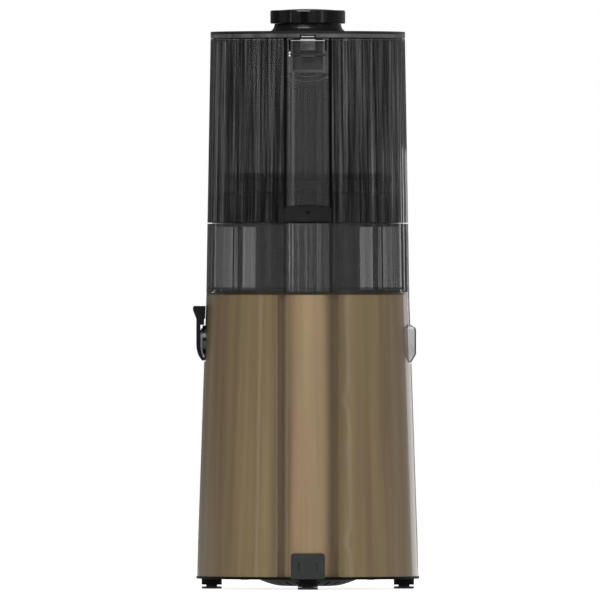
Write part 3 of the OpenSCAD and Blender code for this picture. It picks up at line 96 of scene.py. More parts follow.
# The channel's ridges: drop below the pocket, half width and sag of each, their wire and place.
RIDGES = ((3.4, 14.6, 4.6), (7.6, 17.2, 4.2))
RIDGE_RADIUS = 0.4
RIDGE_REACH = 5.6

# The dark ring that blocks light in the gap on the deck, so shade falls there. It reaches under
# the flange that stands this high above the drum's foot.
SHADOW_RING_RADIUS = 81
SHADOW_RING_WIDTH = 3
SHADOW_RING_FIT = 0.02
FLANGE_HEIGHT = 60

# Blocks on the lid's back: half width as a share of the clip's, then from and to past the lid's
# back, then from and to above the hinge pocket's top.
LID_CLIP = (1, -0.4, 0.1, -10.4, -0.6)
LID_NOTCH = (1.08, -0.3, 0.1, -0.4, 3.1)
# The pale bars are painted highlight.
LID_HIGHLIGHT_BARS = (
    (2.3, -0.3, 0.2, -2.3, -1.7),
    (1, -0.1, 0.4, -2.1, -0.7),
    (0.9, -0.1, 0.4, 1, 1.9),
)
CLIP_FRAME = 1.1
CLIP_DISH = 0.25
TRIM_EDGE = 0.15

# Bars, and dots of painted highlight, beside the hinge pocket: sideways past its sides, short of
# its back, and below its top.
LEFT_BAR = (-0.6, 1)
RIGHT_BAR = (-0.7, 0.7)
BAR_BACK = (0.8, 0.1)
BAR_HEIGHT = (10.6, 1.2)
BAR_EDGE = 0.3
HIGHLIGHT_DOT_RADIUS = 0.85
HIGHLIGHT_DOT_ASIDE = 0.1
HIGHLIGHT_DOT_BACK = 0.4
HIGHLIGHT_DOT_DROPS = (14.8, 12.4)

# The dial's grip: gap round the dial, depth, height of a rib and wall.
GRIP_GAP = 0.15
GRIP_DEPTH = 3.4
GRIP_RIB = 0.3
GRIP_WALL = 0.25

# The studio in metres, with the strength of the floor's glow and of the room's light on its two
# sides, and the camera's sensor in millimetres.
FLOOR_WIDTH = 9
FLOOR_GAP = 0.0004
FLOOR_GLOW = 0.84
FILL_SPAN = 0.5
FILL_DIM = 0.08
FILL_BRIGHT = 0.26
CAMERA_AWAY = 20
CAMERA_ASIDE = 0.00674
CAMERA_HEIGHT = 0.2491
CAMERA_REACH = 100
PICTURE_WIDTH = 0.51816
SENSOR_WIDTH = 36

# A Mix node's sockets by number: two colours and their result, two numbers and their result.
COLOUR_A, COLOUR_B, COLOUR_OUT = 6, 7, 2
NUMBER_A, NUMBER_B, NUMBER_OUT = 2, 3, 0


# Colour and node helpers


def linear(tone):
    """A tone as linear red, green, blue and a full alpha: an sRGB hex, or a colour property."""
    if not isinstance(tone, str):
        return [*tone, 1.0]
    parts = [int(tone[i : i + 2], 16) / 255 for i in (1, 3, 5)]
    return [p / 12.92 if p <= 0.04045 else ((p + 0.055) / 1.055) ** 2.4 for p in parts] + [1.0]


def add(tree, kind, inputs=None, stops=(), **settings):
    """Adds one node, sets its properties, fills or links its inputs, and sets a ramp's stops."""
    made = tree.nodes.new("ShaderNode" + kind)
    for key, value in settings.items():
        setattr(made, key, value)
    for key, value in (inputs or {}).items():
        if isinstance(value, bpy.types.NodeSocket):
            tree.links.new(value, made.inputs[key])
        else:
            made.inputs[key].default_value = value
    if stops:
        marks = made.color_ramp.elements
        for _ in stops[2:]:
            marks.new(0.5)
        for mark, (position, tone) in zip(marks, stops):
            mark.position = position
            mark.color = linear(tone)
    return made


def start(name, **shader):
    """An empty material with its shader, and the piece's own coordinates."""
    material = bpy.data.materials.new(name)
    material.use_nodes = True
    tree = material.node_tree
    tree.nodes.clear()
    output = add(tree, "OutputMaterial")
    surface = add(tree, "BsdfPrincipled", shader)
    tree.links.new(surface.outputs["BSDF"], output.inputs["Surface"])
    place = add(tree, "TexCoord").outputs["Object"]
    return material, tree, surface, place


def pattern(tree, place, kind, size_mm, inputs=None, **settings):
    """A texture that counts one unit for each x, y and z millimetres of its size."""
    steps = add(tree, "Mapping", {"Vector": place, "Scale": [1 / MM / step for step in size_mm]})
    inputs = {"Vector": steps.outputs["Vector"], "Scale": 1.0, **(inputs or {})}
    return add(tree, kind, inputs, **settings)


def around(tree, place, turns, up_mm):
    """Coordinates that count turns round the Z axis and up_mm millimetres along it."""
    split = add(tree, "SeparateXYZ", {"Vector": place})
    angle = add(tree, "Math", {0: split.outputs["Y"], 1: split.outputs["X"]}, operation="ARCTAN2")
    turn = add(tree, "Math", {0: angle.outputs[0], 1: turns / math.tau}, operation="MULTIPLY")
    rise = add(tree, "Math", {0: split.outputs["Z"], 1: 1 / MM / up_mm}, operation="MULTIPLY")
    both = add(tree, "CombineXYZ", {"X": turn.outputs[0], "Y": rise.outputs[0]})
    return both.outputs["Vector"]


def dress(tree, surface, colour, shine, low, high, relief=None, depth_mm=0, strength=0):
    """Gives the surface its colour, a roughness from low to high that follows shine, and relief.

    The relief is a bump pattern, depth_mm deep and drawn at this strength.
    """
    tree.links.new(colour, surface.inputs["Base Color"])
    rough = add(tree, "MapRange", {"Value": shine, "To Min": low, "To Max": high})
    tree.links.new(rough.outputs["Result"], surface.inputs["Roughness"])
    if relief is not None:
        raised = {"Height": relief, "Distance": depth_mm * MM, "Strength": strength}
        bump = add(tree, "Bump", raised)
        tree.links.new(bump.outputs["Normal"], surface.inputs["Normal"])


# Finishes. Each returns a material named for what the real one is made of.


def bronze_lacquer(name, dark, mid, light):
    """Brushed aluminium under tinted lacquer: upright streaks under a clear, glossy coat."""
    # The brushed grain is about 0.3 mm wide and is drawn 1.6 to 14 mm wide so that it shows.
    material, tree, surface, place = start(
        name, Metallic=0.6,
        **{"Specular IOR Level": 0.25, "Coat Weight": 0.55, "Coat Roughness": 0.07},
    )
    wide = pattern(tree, place, "TexNoise", (9, 9, 900), {"Detail": 3.0})
    fine = pattern(tree, place, "TexNoise", (1.6, 1.6, 260), {"Detail": 2.0})
    hue = pattern(tree, place, "TexNoise", (14, 14, 1500), {"Detail": 1.0})
    base = add(tree, "ValToRGB", {"Fac": wide.outputs["Fac"]}, [(0.3, dark), (0.7, light)])
    warm = add(tree, "ValToRGB", {"Fac": hue.outputs["Fac"]}, [(0.35, mid), (0.65, light)])
    tint = add(
        tree, "Mix", {"Factor": 0.45, COLOUR_A: base.outputs[0], COLOUR_B: warm.outputs[0]},
        data_type="RGBA",
    )
    # Painted light on the back only: a painted highlight on the spine, painted shade in the grooves
    # beside it and darker towards the sides.
    split = add(tree, "SeparateXYZ", {"Vector": place})
    aside = add(tree, "Math", {0: split.outputs["X"]}, operation="ABSOLUTE")
    share = add(tree, "Math", {0: aside.outputs[0], 1: 1 / (GROOVE_SPAN * MM)}, operation="MULTIPLY")
    stops = [(distance / GROOVE_SPAN, tone) for distance, tone in PAINTED_LIGHT_TONES]
    painted_light = add(tree, "ValToRGB", {"Fac": share.outputs[0]}, stops)
    painted_light.color_ramp.interpolation = "B_SPLINE"
    rear = add(tree, "Math", {0: split.outputs["Y"], 1: 0.0}, operation="GREATER_THAN")
    shade = add(
        tree, "Mix",
        {"Factor": rear.outputs[0], COLOUR_A: linear(FRONT_TONE), COLOUR_B: painted_light.outputs[0]},
        data_type="RGBA",
    )
    full = add(
        tree, "Mix",
        {"Factor": 1.0, COLOUR_A: tint.outputs[COLOUR_OUT], COLOUR_B: shade.outputs[COLOUR_OUT]},
        data_type="RGBA", blend_type="MULTIPLY",
    )
    dress(
        tree, surface, full.outputs[COLOUR_OUT], fine.outputs["Fac"], 0.36, 0.52,
        relief=fine.outputs["Fac"], depth_mm=0.02, strength=0.08,
    )
    return material


def moulded(name, dark, light, rough=0.5, grain_mm=0.6, depth_mm=0.02, coat=0.0, gloss=0.25):
    """Moulded ABS or nylon: a fine spark-eroded grain, slight tone changes."""
    material, tree, surface, place = start(
        name, **{"Coat Weight": coat, "Coat Roughness": 0.08, "Specular IOR Level": gloss}
    )
    grain = pattern(tree, place, "TexNoise", (grain_mm, grain_mm, grain_mm), {"Detail": 3.0})
    tone = pattern(tree, place, "TexNoise", (22, 22, 22), {"Detail": 2.0})
    colour = add(tree, "ValToRGB", {"Fac": tone.outputs["Fac"]}, [(0.3, dark), (0.7, light)])
    dress(
        tree, surface, colour.outputs[0], grain.outputs["Fac"], rough - 0.07, rough + 0.07,
        relief=grain.outputs["Fac"], depth_mm=depth_mm, strength=0.4,
    )
    return material


def polished(name, dark, light, rough=0.1, painted_facets=0):
    """Polished ABS: mirror gloss, faint flow ripple, hairline marks and, if asked, painted light and
    shade round its axis.
    """
    material, tree, surface, place = start(
        name, **{"Coat Weight": 0.2, "Coat Roughness": 0.03, "Specular IOR Level": 0.3}
    )
    ripple = pattern(tree, place, "TexNoise", (18, 18, 18), {"Detail": 1.0})
    marks = pattern(tree, place, "TexNoise", (0.8, 9, 0.8), {"Detail": 4.0})
    colour = add(tree, "ValToRGB", {"Fac": ripple.outputs["Fac"]}, [(0.3, dark), (0.7, light)])
    # Tones that change round the axis: painted light and shade on the cap's flat sides.
    if painted_facets:
        sides = {"Vector": around(tree, place, painted_facets, 900), "Scale": 1.0, "Detail": 0.0}
        turned = add(tree, "TexNoise", sides)
        tones = [(0.42, dark), (0.56, light)]
        colour = add(tree, "ValToRGB", {"Fac": turned.outputs["Fac"]}, tones)
    dress(
        tree, surface, colour.outputs[0], marks.outputs["Fac"], rough * 0.6, rough * 1.5,
        relief=ripple.outputs["Fac"], depth_mm=0.05, strength=0.15,
    )
    return material


def banded_bowl(name):
    """Smoky ABS bowl: light funnel wall, black rim band, a paler throat below the band."""
    material, tree, surface, place = start(name, **{"Specular IOR Level": 0.3})
    height = add(tree, "SeparateXYZ", {"Vector": place}).outputs["Z"]
    limits = {"From Min": BOWL_FOOT * MM, "From Max": (BOWL_FOOT + BOWL_SPAN) * MM}
    share = add(tree, "MapRange", {"Value": height, **limits}).outputs["Result"]
    stops = [((level - BOWL_FOOT) / BOWL_SPAN, tone) for level, tone in BOWL_TONES]
    band = add(tree, "ValToRGB", {"Fac": share}, stops)
    band.color_ramp.interpolation = "CONSTANT"
    ripple = pattern(tree, place, "TexNoise", (7, 7, 60), {"Detail": 2.0})
    greys = [(0.35, "#b4b4b4"), (0.65, "#ffffff")]
    shade = add(tree, "ValToRGB", {"Fac": ripple.outputs["Fac"]}, greys)
    full = add(
        tree, "Mix", {"Factor": 1.0, COLOUR_A: band.outputs[0], COLOUR_B: shade.outputs[0]},
        data_type="RGBA", blend_type="MULTIPLY",
    )
    dress(tree, surface, full.outputs[COLOUR_OUT], ripple.outputs["Fac"], 0.1, 0.24)
    return material


def edged_lid(name, dark, rim_dark, rim_light, low_z, high_z):
    """Smoky ABS lid: dark top and arm, with a paler rim with flow marks from low_z to high_z."""
    material, tree, surface, place = start(
        name, **{"Coat Weight": 0.2, "Coat Roughness": 0.03, "Specular IOR Level": 0.3}
    )
    height = add(tree, "SeparateXYZ", {"Vector": place}).outputs["Z"]
    band = {0: height, 1: (low_z + high_z) / 2, 2: (high_z - low_z) / 2}
    on_rim = add(tree, "Math", band, operation="COMPARE")
    flow = pattern(tree, place, "TexNoise", (14, 14, 900), {"Detail": 2.0})
    rim = add(tree, "ValToRGB", {"Fac": flow.outputs["Fac"]}, [(0.35, rim_dark), (0.65, rim_light)])
    tone = add(
        tree, "Mix",
        {"Factor": on_rim.outputs[0], COLOUR_A: linear(dark), COLOUR_B: rim.outputs[0]},
        data_type="RGBA",
    )
    dress(tree, surface, tone.outputs[COLOUR_OUT], flow.outputs["Fac"], 0.18, 0.45)
    return material


def smoky_clear(name, thick, thin):
    """Smoke-tinted clear copolyester: dark and glossy, with slow flow marks that tint it."""
    material, tree, surface, place = start(name, Roughness=0.03, IOR=1.45, **{"Transmission Weight": 1.0})
    flow = pattern(tree, place, "TexNoise", (5, 5, 90), {"Detail": 2.0})
    colour = add(tree, "ValToRGB", {"Fac": flow.outputs["Fac"]}, [(0.35, thick), (0.65, thin)])
    tree.links.new(colour.outputs[0], surface.inputs["Base Color"])
    return material


def smoky_reeded(name, thick, thin, smoke, streak, haze, spine_level, seam_shade_tone, glints, ior=1.3):
    """Smoke-tinted copolyester in upright reeds: deep grey edges, hazy streaks in the reeds.

    streak is how strongly the reeds' tone wanders, haze the milky share, spine_level the tone
    of the plain spine, glints the milky share of its sharpest lines.
    """
    material, tree, surface, place = start(name, Roughness=0.04, IOR=ior)
    split = add(tree, "SeparateXYZ", {"Vector": place})
    angle = add(tree, "Math", {0: split.outputs["Y"], 1: split.outputs["X"]}, operation="ARCTAN2")
    # Turns counted from the spine's edge, then reeds, then the place across one from -1 to 1.
    from_edge = {0: angle.outputs[0], 1: 1 / math.tau, 2: -(90 + SPINE_HALF) / 360}
    turn = add(tree, "Math", from_edge, operation="MULTIPLY_ADD")
    whole = add(tree, "Math", {0: turn.outputs[0]}, operation="FRACT")
    reeds_a_turn = 360 * REEDS / (360 - 2 * SPINE_HALF)
    reed = add(tree, "Math", {0: whole.outputs[0], 1: reeds_a_turn}, operation="MULTIPLY")
    part = add(tree, "Math", {0: reed.outputs[0]}, operation="FRACT")
    across = add(tree, "Math", {0: part.outputs[0], 1: 2.0, 2: -1.0}, operation="MULTIPLY_ADD")
    edge = add(tree, "Math", {0: across.outputs[0], 1: 2.0}, operation="POWER")
    # The dark lines in the reeds are about 1.7 mm wide.
    flow = pattern(tree, place, "TexNoise", (1.7, 1.7, 9000), {"Detail": 5.0})
    streaked = {0: flow.outputs["Fac"], 1: streak, 2: 0.22 - streak / 2}
    level = add(tree, "Math", streaked, operation="MULTIPLY_ADD")
    edged = {0: edge.outputs[0], 1: 0.3, 2: level.outputs[0]}
    reeded = add(tree, "Math", edged, operation="MULTIPLY_ADD")
    # The spine between the first and the last reed is plain, with only fine drawing lines.
    lines = pattern(tree, place, "TexNoise", (2.4, 90, 9000), {"Detail": 1.0})
    lined = {0: lines.outputs["Fac"], 1: 0.5, 2: spine_level - 0.25}
    plain = add(tree, "Math", lined, operation="MULTIPLY_ADD")
    spine = add(tree, "Math", {0: reed.outputs[0], 1: float(REEDS)}, operation="GREATER_THAN")
    either = {"Factor": spine.outputs[0], NUMBER_A: reeded.outputs[0], NUMBER_B: plain.outputs[0]}
    total = add(tree, "Mix", either, data_type="FLOAT").outputs[NUMBER_OUT]
    colour = add(tree, "ValToRGB", {"Fac": total}, [(0.05, thick), (0.95, thin)])
    # Painted shade: where the reeds meet the spine the wall stands steep, and a dark line is
    # painted down each side.
    aside = add(tree, "Math", {0: split.outputs["X"], 1: split.outputs["Y"]}, operation="ARCTAN2")
    turned = add(tree, "Math", {0: aside.outputs[0]}, operation="ABSOLUTE")
    joint = {0: turned.outputs[0], 1: math.radians(SPINE_HALF), 2: math.radians(SEAM_SHADE_HALF)}
    seam = add(tree, "Math", joint, operation="COMPARE")
    seamed = add(
        tree, "Mix",
        {"Factor": seam.outputs[0], COLOUR_A: colour.outputs[0], COLOUR_B: linear(seam_shade_tone)},
        data_type="RGBA",
    )
    tree.links.new(seamed.outputs[COLOUR_OUT], surface.inputs["Base Color"])
    clear = add(tree, "MapRange", {"Value": total, "To Min": 1 - haze / 2, "To Max": 1 - haze})
    # The sharpest drawing lines in the spine catch the light.
    sharp = {"Value": lines.outputs["Fac"], "From Min": 0.54, "From Max": 0.62, "To Max": glints}
    glint = add(tree, "MapRange", sharp)
    on_spine = {0: glint.outputs["Result"], 1: spine.outputs[0]}
    lit = add(tree, "Math", on_spine, operation="MULTIPLY")
    left = {0: clear.outputs["Result"], 1: lit.outputs[0]}
    passing = add(tree, "Math", left, operation="SUBTRACT")
    tree.links.new(passing.outputs[0], surface.inputs["Transmission Weight"])
    depth = add(tree, "VolumeAbsorption", {"Color": linear(smoke), "Density": 330.0})
    tree.links.new(depth.outputs["Volume"], tree.nodes["Material Output"].inputs["Volume"])
    return material


def milky_clear(name, dark, light):
    """Pale translucent copolyester, half clear, with a soft edge glow."""
    material, tree, surface, place = start(
        name, Roughness=0.14, IOR=1.4, **{"Transmission Weight": 0.35, "Coat Weight": 0.4}
    )
    cloud = pattern(tree, place, "TexNoise", (9, 9, 20), {"Detail": 2.0})
    colour = add(tree, "ValToRGB", {"Fac": cloud.outputs["Fac"]}, [(0.35, dark), (0.65, light)])
    tree.links.new(colour.outputs[0], surface.inputs["Base Color"])
    swell = {"Height": cloud.outputs["Fac"], "Distance": 0.04 * MM, "Strength": 0.15}
    bump = add(tree, "Bump", swell)
    tree.links.new(bump.outputs["Normal"], surface.inputs["Normal"])
    return material


def rubber(name, dark, light, rough=0.72):
    """Moulded silicone or nitrile rubber: matt, with a faint powdery bloom."""
    material, tree, surface, place = start(name, **{"Sheen Weight": 0.15, "Sheen Roughness": 0.5})
    bloom = pattern(tree, place, "TexNoise", (4, 4, 4), {"Detail": 4.0})
    pores = pattern(tree, place, "TexVoronoi", (0.9, 0.9, 0.9))
    colour = add(tree, "ValToRGB", {"Fac": bloom.outputs["Fac"]}, [(0.3, dark), (0.75, light)])
    dress(
        tree, surface, colour.outputs[0], bloom.outputs["Fac"], rough - 0.08, rough + 0.08,
        relief=pores.outputs["Distance"], depth_mm=0.03, strength=0.3,
    )
    return material


def turned_metal(name, dark, light, rough=0.28, unit_mm=0.7):
    """Turned or drawn steel: bright, with fine rings left by the tool along its height."""
    # A wave draws about three rings in each unit, so they lie 0.1 to 0.2 mm apart.
    material, tree, surface, place = start(name, Metallic=1.0)
    rings = pattern(
        tree, place, "TexWave", (40, 40, unit_mm), {"Distortion": 0.6},
        wave_type="BANDS", bands_direction="Z",
    )
    stain = pattern(tree, place, "TexNoise", (12, 12, 12), {"Detail": 4.0})
    colour = add(tree, "ValToRGB", {"Fac": stain.outputs["Fac"]}, [(0.3, dark), (0.7, light)])
    dress(
        tree, surface, colour.outputs[0], stain.outputs["Fac"], rough - 0.07, rough + 0.1,
        relief=rings.outputs["Fac"], depth_mm=0.02, strength=0.25,
    )
    return material


def cast_alloy(name, dark, light):
    """Die-cast aluminium: pale, dull, with a coarse cast skin."""
    material, tree, surface, place = start(name, Metallic=0.9)
    skin = pattern(tree, place, "TexNoise", (1.4, 1.4, 1.4), {"Detail": 5.0})
    flow = pattern(tree, place, "TexNoise", (18, 18, 18), {"Detail": 3.0})
    colour = add(tree, "ValToRGB", {"Fac": flow.outputs["Fac"]}, [(0.3, dark), (0.7, light)])
    dress(
        tree, surface, colour.outputs[0], skin.outputs["Fac"], 0.42, 0.66,
        relief=skin.outputs["Fac"], depth_mm=0.06, strength=0.5,
    )
    return material


def layered_core(name, dark, light):
    """Stacked electrical sheet: the laminations' edges show as fine level lines."""
    # A wave draws about three lines in each millimetre, which gives sheets 0.3 mm thick.
    material, tree, surface, place = start(name, Metallic=0.85)
    sheets = pattern(
        tree, place, "TexWave", (60, 60, 1), {"Distortion": 0.0},
        wave_type="BANDS", bands_direction="Z",
    )
    blue = pattern(tree, place, "TexNoise", (9, 9, 3), {"Detail": 3.0})
    colour = add(tree, "ValToRGB", {"Fac": blue.outputs["Fac"]}, [(0.3, dark), (0.7, light)])
    dress(
        tree, surface, colour.outputs[0], blue.outputs["Fac"], 0.35, 0.6,
        relief=sheets.outputs["Fac"], depth_mm=0.08, strength=0.6,
    )
    return material


def copper_winding(name, dark, light):
    """Enamelled copper wire, wound side by side and varnished: fine rounded ridges."""
    # A slanting wave draws 1.6 ridges in each 0.9 mm, which gives wire 0.6 mm thick.
    material, tree, surface, place = start(
        name, Metallic=0.8, **{"Coat Weight": 0.5, "Coat Roughness": 0.15}
    )
    turns = around(tree, place, 120, 0.9)
    wires = add(
        tree, "TexWave", {"Vector": turns, "Scale": 1.0, "Distortion": 1.2, "Detail": 1.0},
        wave_type="BANDS", bands_direction="DIAGONAL",
    )
    colour = add(tree, "ValToRGB", {"Fac": wires.outputs["Fac"]}, [(0.1, dark), (0.8, light)])
    dress(
        tree, surface, colour.outputs[0], wires.outputs["Fac"], 0.45, 0.25,
        relief=wires.outputs["Fac"], depth_mm=0.3, strength=0.7,
    )
    return material


def printed_board(name, dark, light):
    """Glass-fibre board under green solder resist: an even green under a clear, glossy coat."""
    # The joints stand for the copper tracks. They are wide enough to meet, so they fill the board.
    material, tree, surface, place = start(name, **{"Coat Weight": 0.4, "Coat Roughness": 0.1})
    layout = {
        "Mortar Size": 0.16, "Color1": linear(dark), "Color2": linear(light),
        "Mortar": linear("#5fa066"),
    }
    tracks = pattern(tree, place, "TexBrick", (2.4, 2.4, 2.4), layout)
    dress(
        tree, surface, tracks.outputs["Color"], tracks.outputs["Fac"], 0.3, 0.42,
        relief=tracks.outputs["Fac"], depth_mm=0.05, strength=0.5,
    )
    return material


def fine_strainer(name, dark, light):
    """Moulded strainer plastic with etched openings: even dark dots in rows."""
    # The real openings are finer and are drawn 1.8 mm apart so that they show.
    material, tree, surface, place = start(name)
    rows = {"Vector": around(tree, place, 150, 1.8), "Scale": 1.0, "Randomness": 0.0}
    holes = add(tree, "TexVoronoi", rows)
    colour = add(tree, "ValToRGB", {"Fac": holes.outputs["Distance"]}, [(0.2, dark), (0.34, light)])
    dress(
        tree, surface, colour.outputs[0], holes.outputs["Distance"], 0.55, 0.35,
        relief=holes.outputs["Distance"], depth_mm=0.25, strength=0.6,
    )
    return material


def spun_metal(name, dark, light, axis, centre, pitch_mm=0.5, rough=0.26):
    """A spun or lathe-turned face: fine rings round its middle that catch the light."""
    material, tree, surface, place = start(name, Metallic=1.0, **{"Coat Weight": 0.2})
    middle = add(tree, "Mapping", {"Vector": place, "Location": [-c for c in centre]})
    flat = add(tree, "SeparateXYZ", {"Vector": middle.outputs["Vector"]})
    kept = [flat.outputs[letter] for letter in "XYZ" if letter != axis]
    plane = add(tree, "CombineXYZ", {"X": kept[0], "Y": kept[1]}).outputs["Vector"]
    radius = add(tree, "VectorMath", {0: plane}, operation="LENGTH").outputs["Value"]
    rings = add(tree, "Math", {0: radius, 1: 1 / MM / pitch_mm}, operation="MULTIPLY")
    line = add(
        tree, "TexNoise", {"W": rings.outputs[0], "Scale": 1.0, "Detail": 2.0},
        noise_dimensions="1D",
    )
    colour = add(tree, "ValToRGB", {"Fac": line.outputs["Fac"]}, [(0.25, dark), (0.75, light)])
    dress(
        tree, surface, colour.outputs[0], line.outputs["Fac"], rough - 0.08, rough + 0.08,
        relief=line.outputs["Fac"], depth_mm=0.02, strength=0.35,
    )
    return material


def lit_paper(name, colour):
    """White studio paper: matt, faintly clouded, and glowing enough to show white."""
    material, tree, surface, place = start(name, Roughness=0.9)
    fibre = pattern(tree, place, "TexNoise", (60, 60, 60), {"Detail": 3.0})
    whites = [(0.3, "#f6f6f6"), (0.7, "#ffffff")]
    cloud = add(tree, "ValToRGB", {"Fac": fibre.outputs["Fac"]}, whites)
    tint = add(
        tree, "Mix", {"Factor": 1.0, COLOUR_A: linear(colour), COLOUR_B: cloud.outputs[0]},
        data_type="RGBA", blend_type="MULTIPLY",
    )
    tree.links.new(tint.outputs[COLOUR_OUT], surface.inputs["Base Color"])
    surface.inputs["Emission Color"].default_value = (1, 1, 1, 1)
    surface.inputs["Emission Strength"].default_value = FLOOR_GLOW
    return material


def finish(material, *nodes):
    """Gives the CAD nodes this material."""
    for name in nodes:
        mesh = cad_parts[name].data
        mesh.materials.clear()
        mesh.materials.append(material)


# Modelling helpers, for pieces made by hand with Blender's own tools


def clear_selection():
    """Leaves edit mode and deselects everything."""
    if bpy.context.object and bpy.context.object.mode != "OBJECT":
        bpy.ops.object.mode_set(mode="OBJECT")
    bpy.ops.object.select_all(action="DESELECT")


def only(*pieces):
    """Selects these pieces alone and makes the first one active."""
    clear_selection()
    for piece in pieces:
        piece.select_set(True)
    bpy.context.view_layer.objects.active = pieces[0]


def settle(piece):
    """Puts the piece's place into its mesh, so the object sits at the origin."""
    only(piece)
    bpy.ops.object.transform_apply(location=True, rotation=True, scale=True)


def block(name, low, high):
    """A cube primitive that fills the box from low to high, in millimetres."""
    clear_selection()
    middle = [(a + b) / 2 * MM for a, b in zip(low, high)]
    bpy.ops.mesh.primitive_cube_add(size=1, location=middle)
    piece = bpy.context.object
    piece.name = name
    piece.scale = [(b - a) * MM for a, b in zip(low, high)]
    settle(piece)
    return piece


def far_corner(node):
    """The far corner of a node's box, in millimetres to the nearest hundredth."""
    return [round(side / MM, 2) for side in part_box(node)[1]]


def joined(name, *pieces):
    """Joins the pieces into one object of this name."""
    only(*pieces)
    bpy.ops.object.join()
    pieces[0].name = name
    return pieces[0]


def rounded(piece, width_mm, segments):
    """Bevels the sharp edges by width_mm, and shades the piece smooth."""
    bevel = piece.modifiers.new("edges", "BEVEL")
    bevel.width = width_mm * MM
    bevel.segments = segments
    bevel.limit_method = "ANGLE"
    bevel.angle_limit = math.radians(BEVEL_ANGLE)
    only(piece)
    bpy.ops.object.modifier_apply(modifier=bevel.name)
    bpy.ops.object.shade_smooth_by_angle(angle=math.radians(SHARP_ANGLE))


def walled(piece, thickness, side):
    """Gives an open surface its wall: side -1 grows it inwards, 1 outwards."""
    wall = piece.modifiers.new("wall", "SOLIDIFY")
    wall.thickness = thickness
    wall.offset = side
    only(piece)
    bpy.ops.object.modifier_apply(modifier=wall.name)


def edit_faces(piece, test):
    """Opens the piece in edit mode with only the faces that pass the test selected."""
    only(piece)
    bpy.ops.object.mode_set(mode="EDIT")
    bpy.ops.mesh.select_mode(type="FACE")
    bpy.ops.mesh.select_all(action="DESELECT")
    bpy.ops.object.mode_set(mode="OBJECT")
    for face in piece.data.polygons:
        face.select = bool(test(face))
    bpy.ops.object.mode_set(mode="EDIT")


def hung(piece, body, material):
    """Gives a new piece its finish and lets it ride on its body."""
    piece.data.materials.clear()
    piece.data.materials.append(material)
    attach(piece, body)


# What a user would change


def tone_choice(name, description, tone):
    """A colour property whose default is this tone."""
    return FloatVectorProperty(
        name=name, description=description, subtype="COLOR", size=3, default=tone, min=0, max=1
    )


class JuicerSizes(bpy.types.PropertyGroup):
    channel_width: FloatProperty(
        name="Channel width", description="Width of the clear channel behind the hopper's spine",
        default=0.0408, unit="LENGTH",
    )
    channel_wall: FloatProperty(
        name="Channel wall", description="Wall of the clear channel", default=0.0018,
        unit="LENGTH",
    )
    clip_width: FloatProperty(
        name="Clip width", description="Width of the clip on the lid's arm", default=0.0128,
        unit="LENGTH",
    )
    grip_ribs: IntProperty(
        name="Grip ribs", description="Ribs round the control dial's grip", default=60, min=12,
        max=90,
    )


class JuicerColours(bpy.types.PropertyGroup):
    lacquer_dark: tone_choice(
        "Lacquer, dark", "Darkest streaks of the body's bronze lacquer", linear("#77654d")[:3]
    )
    lacquer_mid: tone_choice(
        "Lacquer, middle", "Reddish streaks of the body's bronze lacquer", linear("#8c715d")[:3]
    )
    lacquer_light: tone_choice(
        "Lacquer, light", "Lightest streaks of the body's bronze lacquer", linear("#9b8668")[:3]
    )
    smoke: tone_choice("Smoke", "What the fluted walls' thickness lets through", linear("#c9c9c9")[:3])


class JuicerStudio(bpy.types.PropertyGroup):
    floor: tone_choice("Floor", "Colour of the studio paper", (0.9, 0.9, 0.9))
    key_power: FloatProperty(
        name="Key light", description="Power of the softbox behind the camera, in watts",
        default=54, min=0, unit="POWER",
    )


# Finishes of the carried-over nodes


class JUICER_OT_finish_body(bpy.types.Operator):
    """Lacquers the body and finishes the base, feet, deck and mains inlet"""

    bl_idname = "juicer.finish_body"
    bl_label = "Body, base and deck"

    def execute(self, context):
        tones = context.scene.juicer_colours
        lacquer = (tones.lacquer_dark, tones.lacquer_mid, tones.lacquer_light)
        finish(bronze_lacquer("satin_bronze_lacquer", *lacquer), "body_shell")
        finish(moulded("base_abs_black", "#070707", "#0e0e0e", gloss=0.04), "base_plate")
        finish(
            moulded(
                "deck_abs_olive", "#1b190d", "#25210f",
                rough=0.3, grain_mm=0.5, depth_mm=0.015, coat=0.3,
            ),
            "deck",
        )
        finish(rubber("foot_nitrile_rubber", "#060606", "#0f0f0f"), "foot_pads")
        finish(
            moulded(
                "inlet_abs_grey", "#252726", "#2f3130",
                rough=0.42, grain_mm=0.8, depth_mm=0.03, gloss=0.15,
            ),
            "inlet_plate",
        )
        finish(moulded("inlet_socket_nylon", "#121212", "#1c1c1c"), "inlet_socket")
        finish(turned_metal("tinned_contact_brass", "#3a3936", "#57554f", rough=0.45), "inlet_contacts")
        finish(
            turned_metal("zinc_plated_screw_steel", "#7d8084", "#a3a6a8", rough=0.34),
            "base_screws", "deck_screws", "motor_bolts", "gearbox_screws", "case_screws",
        )
        finish(
            turned_metal("drawn_bright_bar", "#9a9c9e", "#bfc1c3", rough=0.25),
            "tie_rods", "drive_shaft",
        )
        finish(
            rubber("seal_silicone_dark", "#1a1a1a", "#2a2a2a", rough=0.55),
            "shaft_seal", "hub_gasket", "seam_gasket", "lid_gasket", "cap_seal",
        )
        return {"FINISHED"}


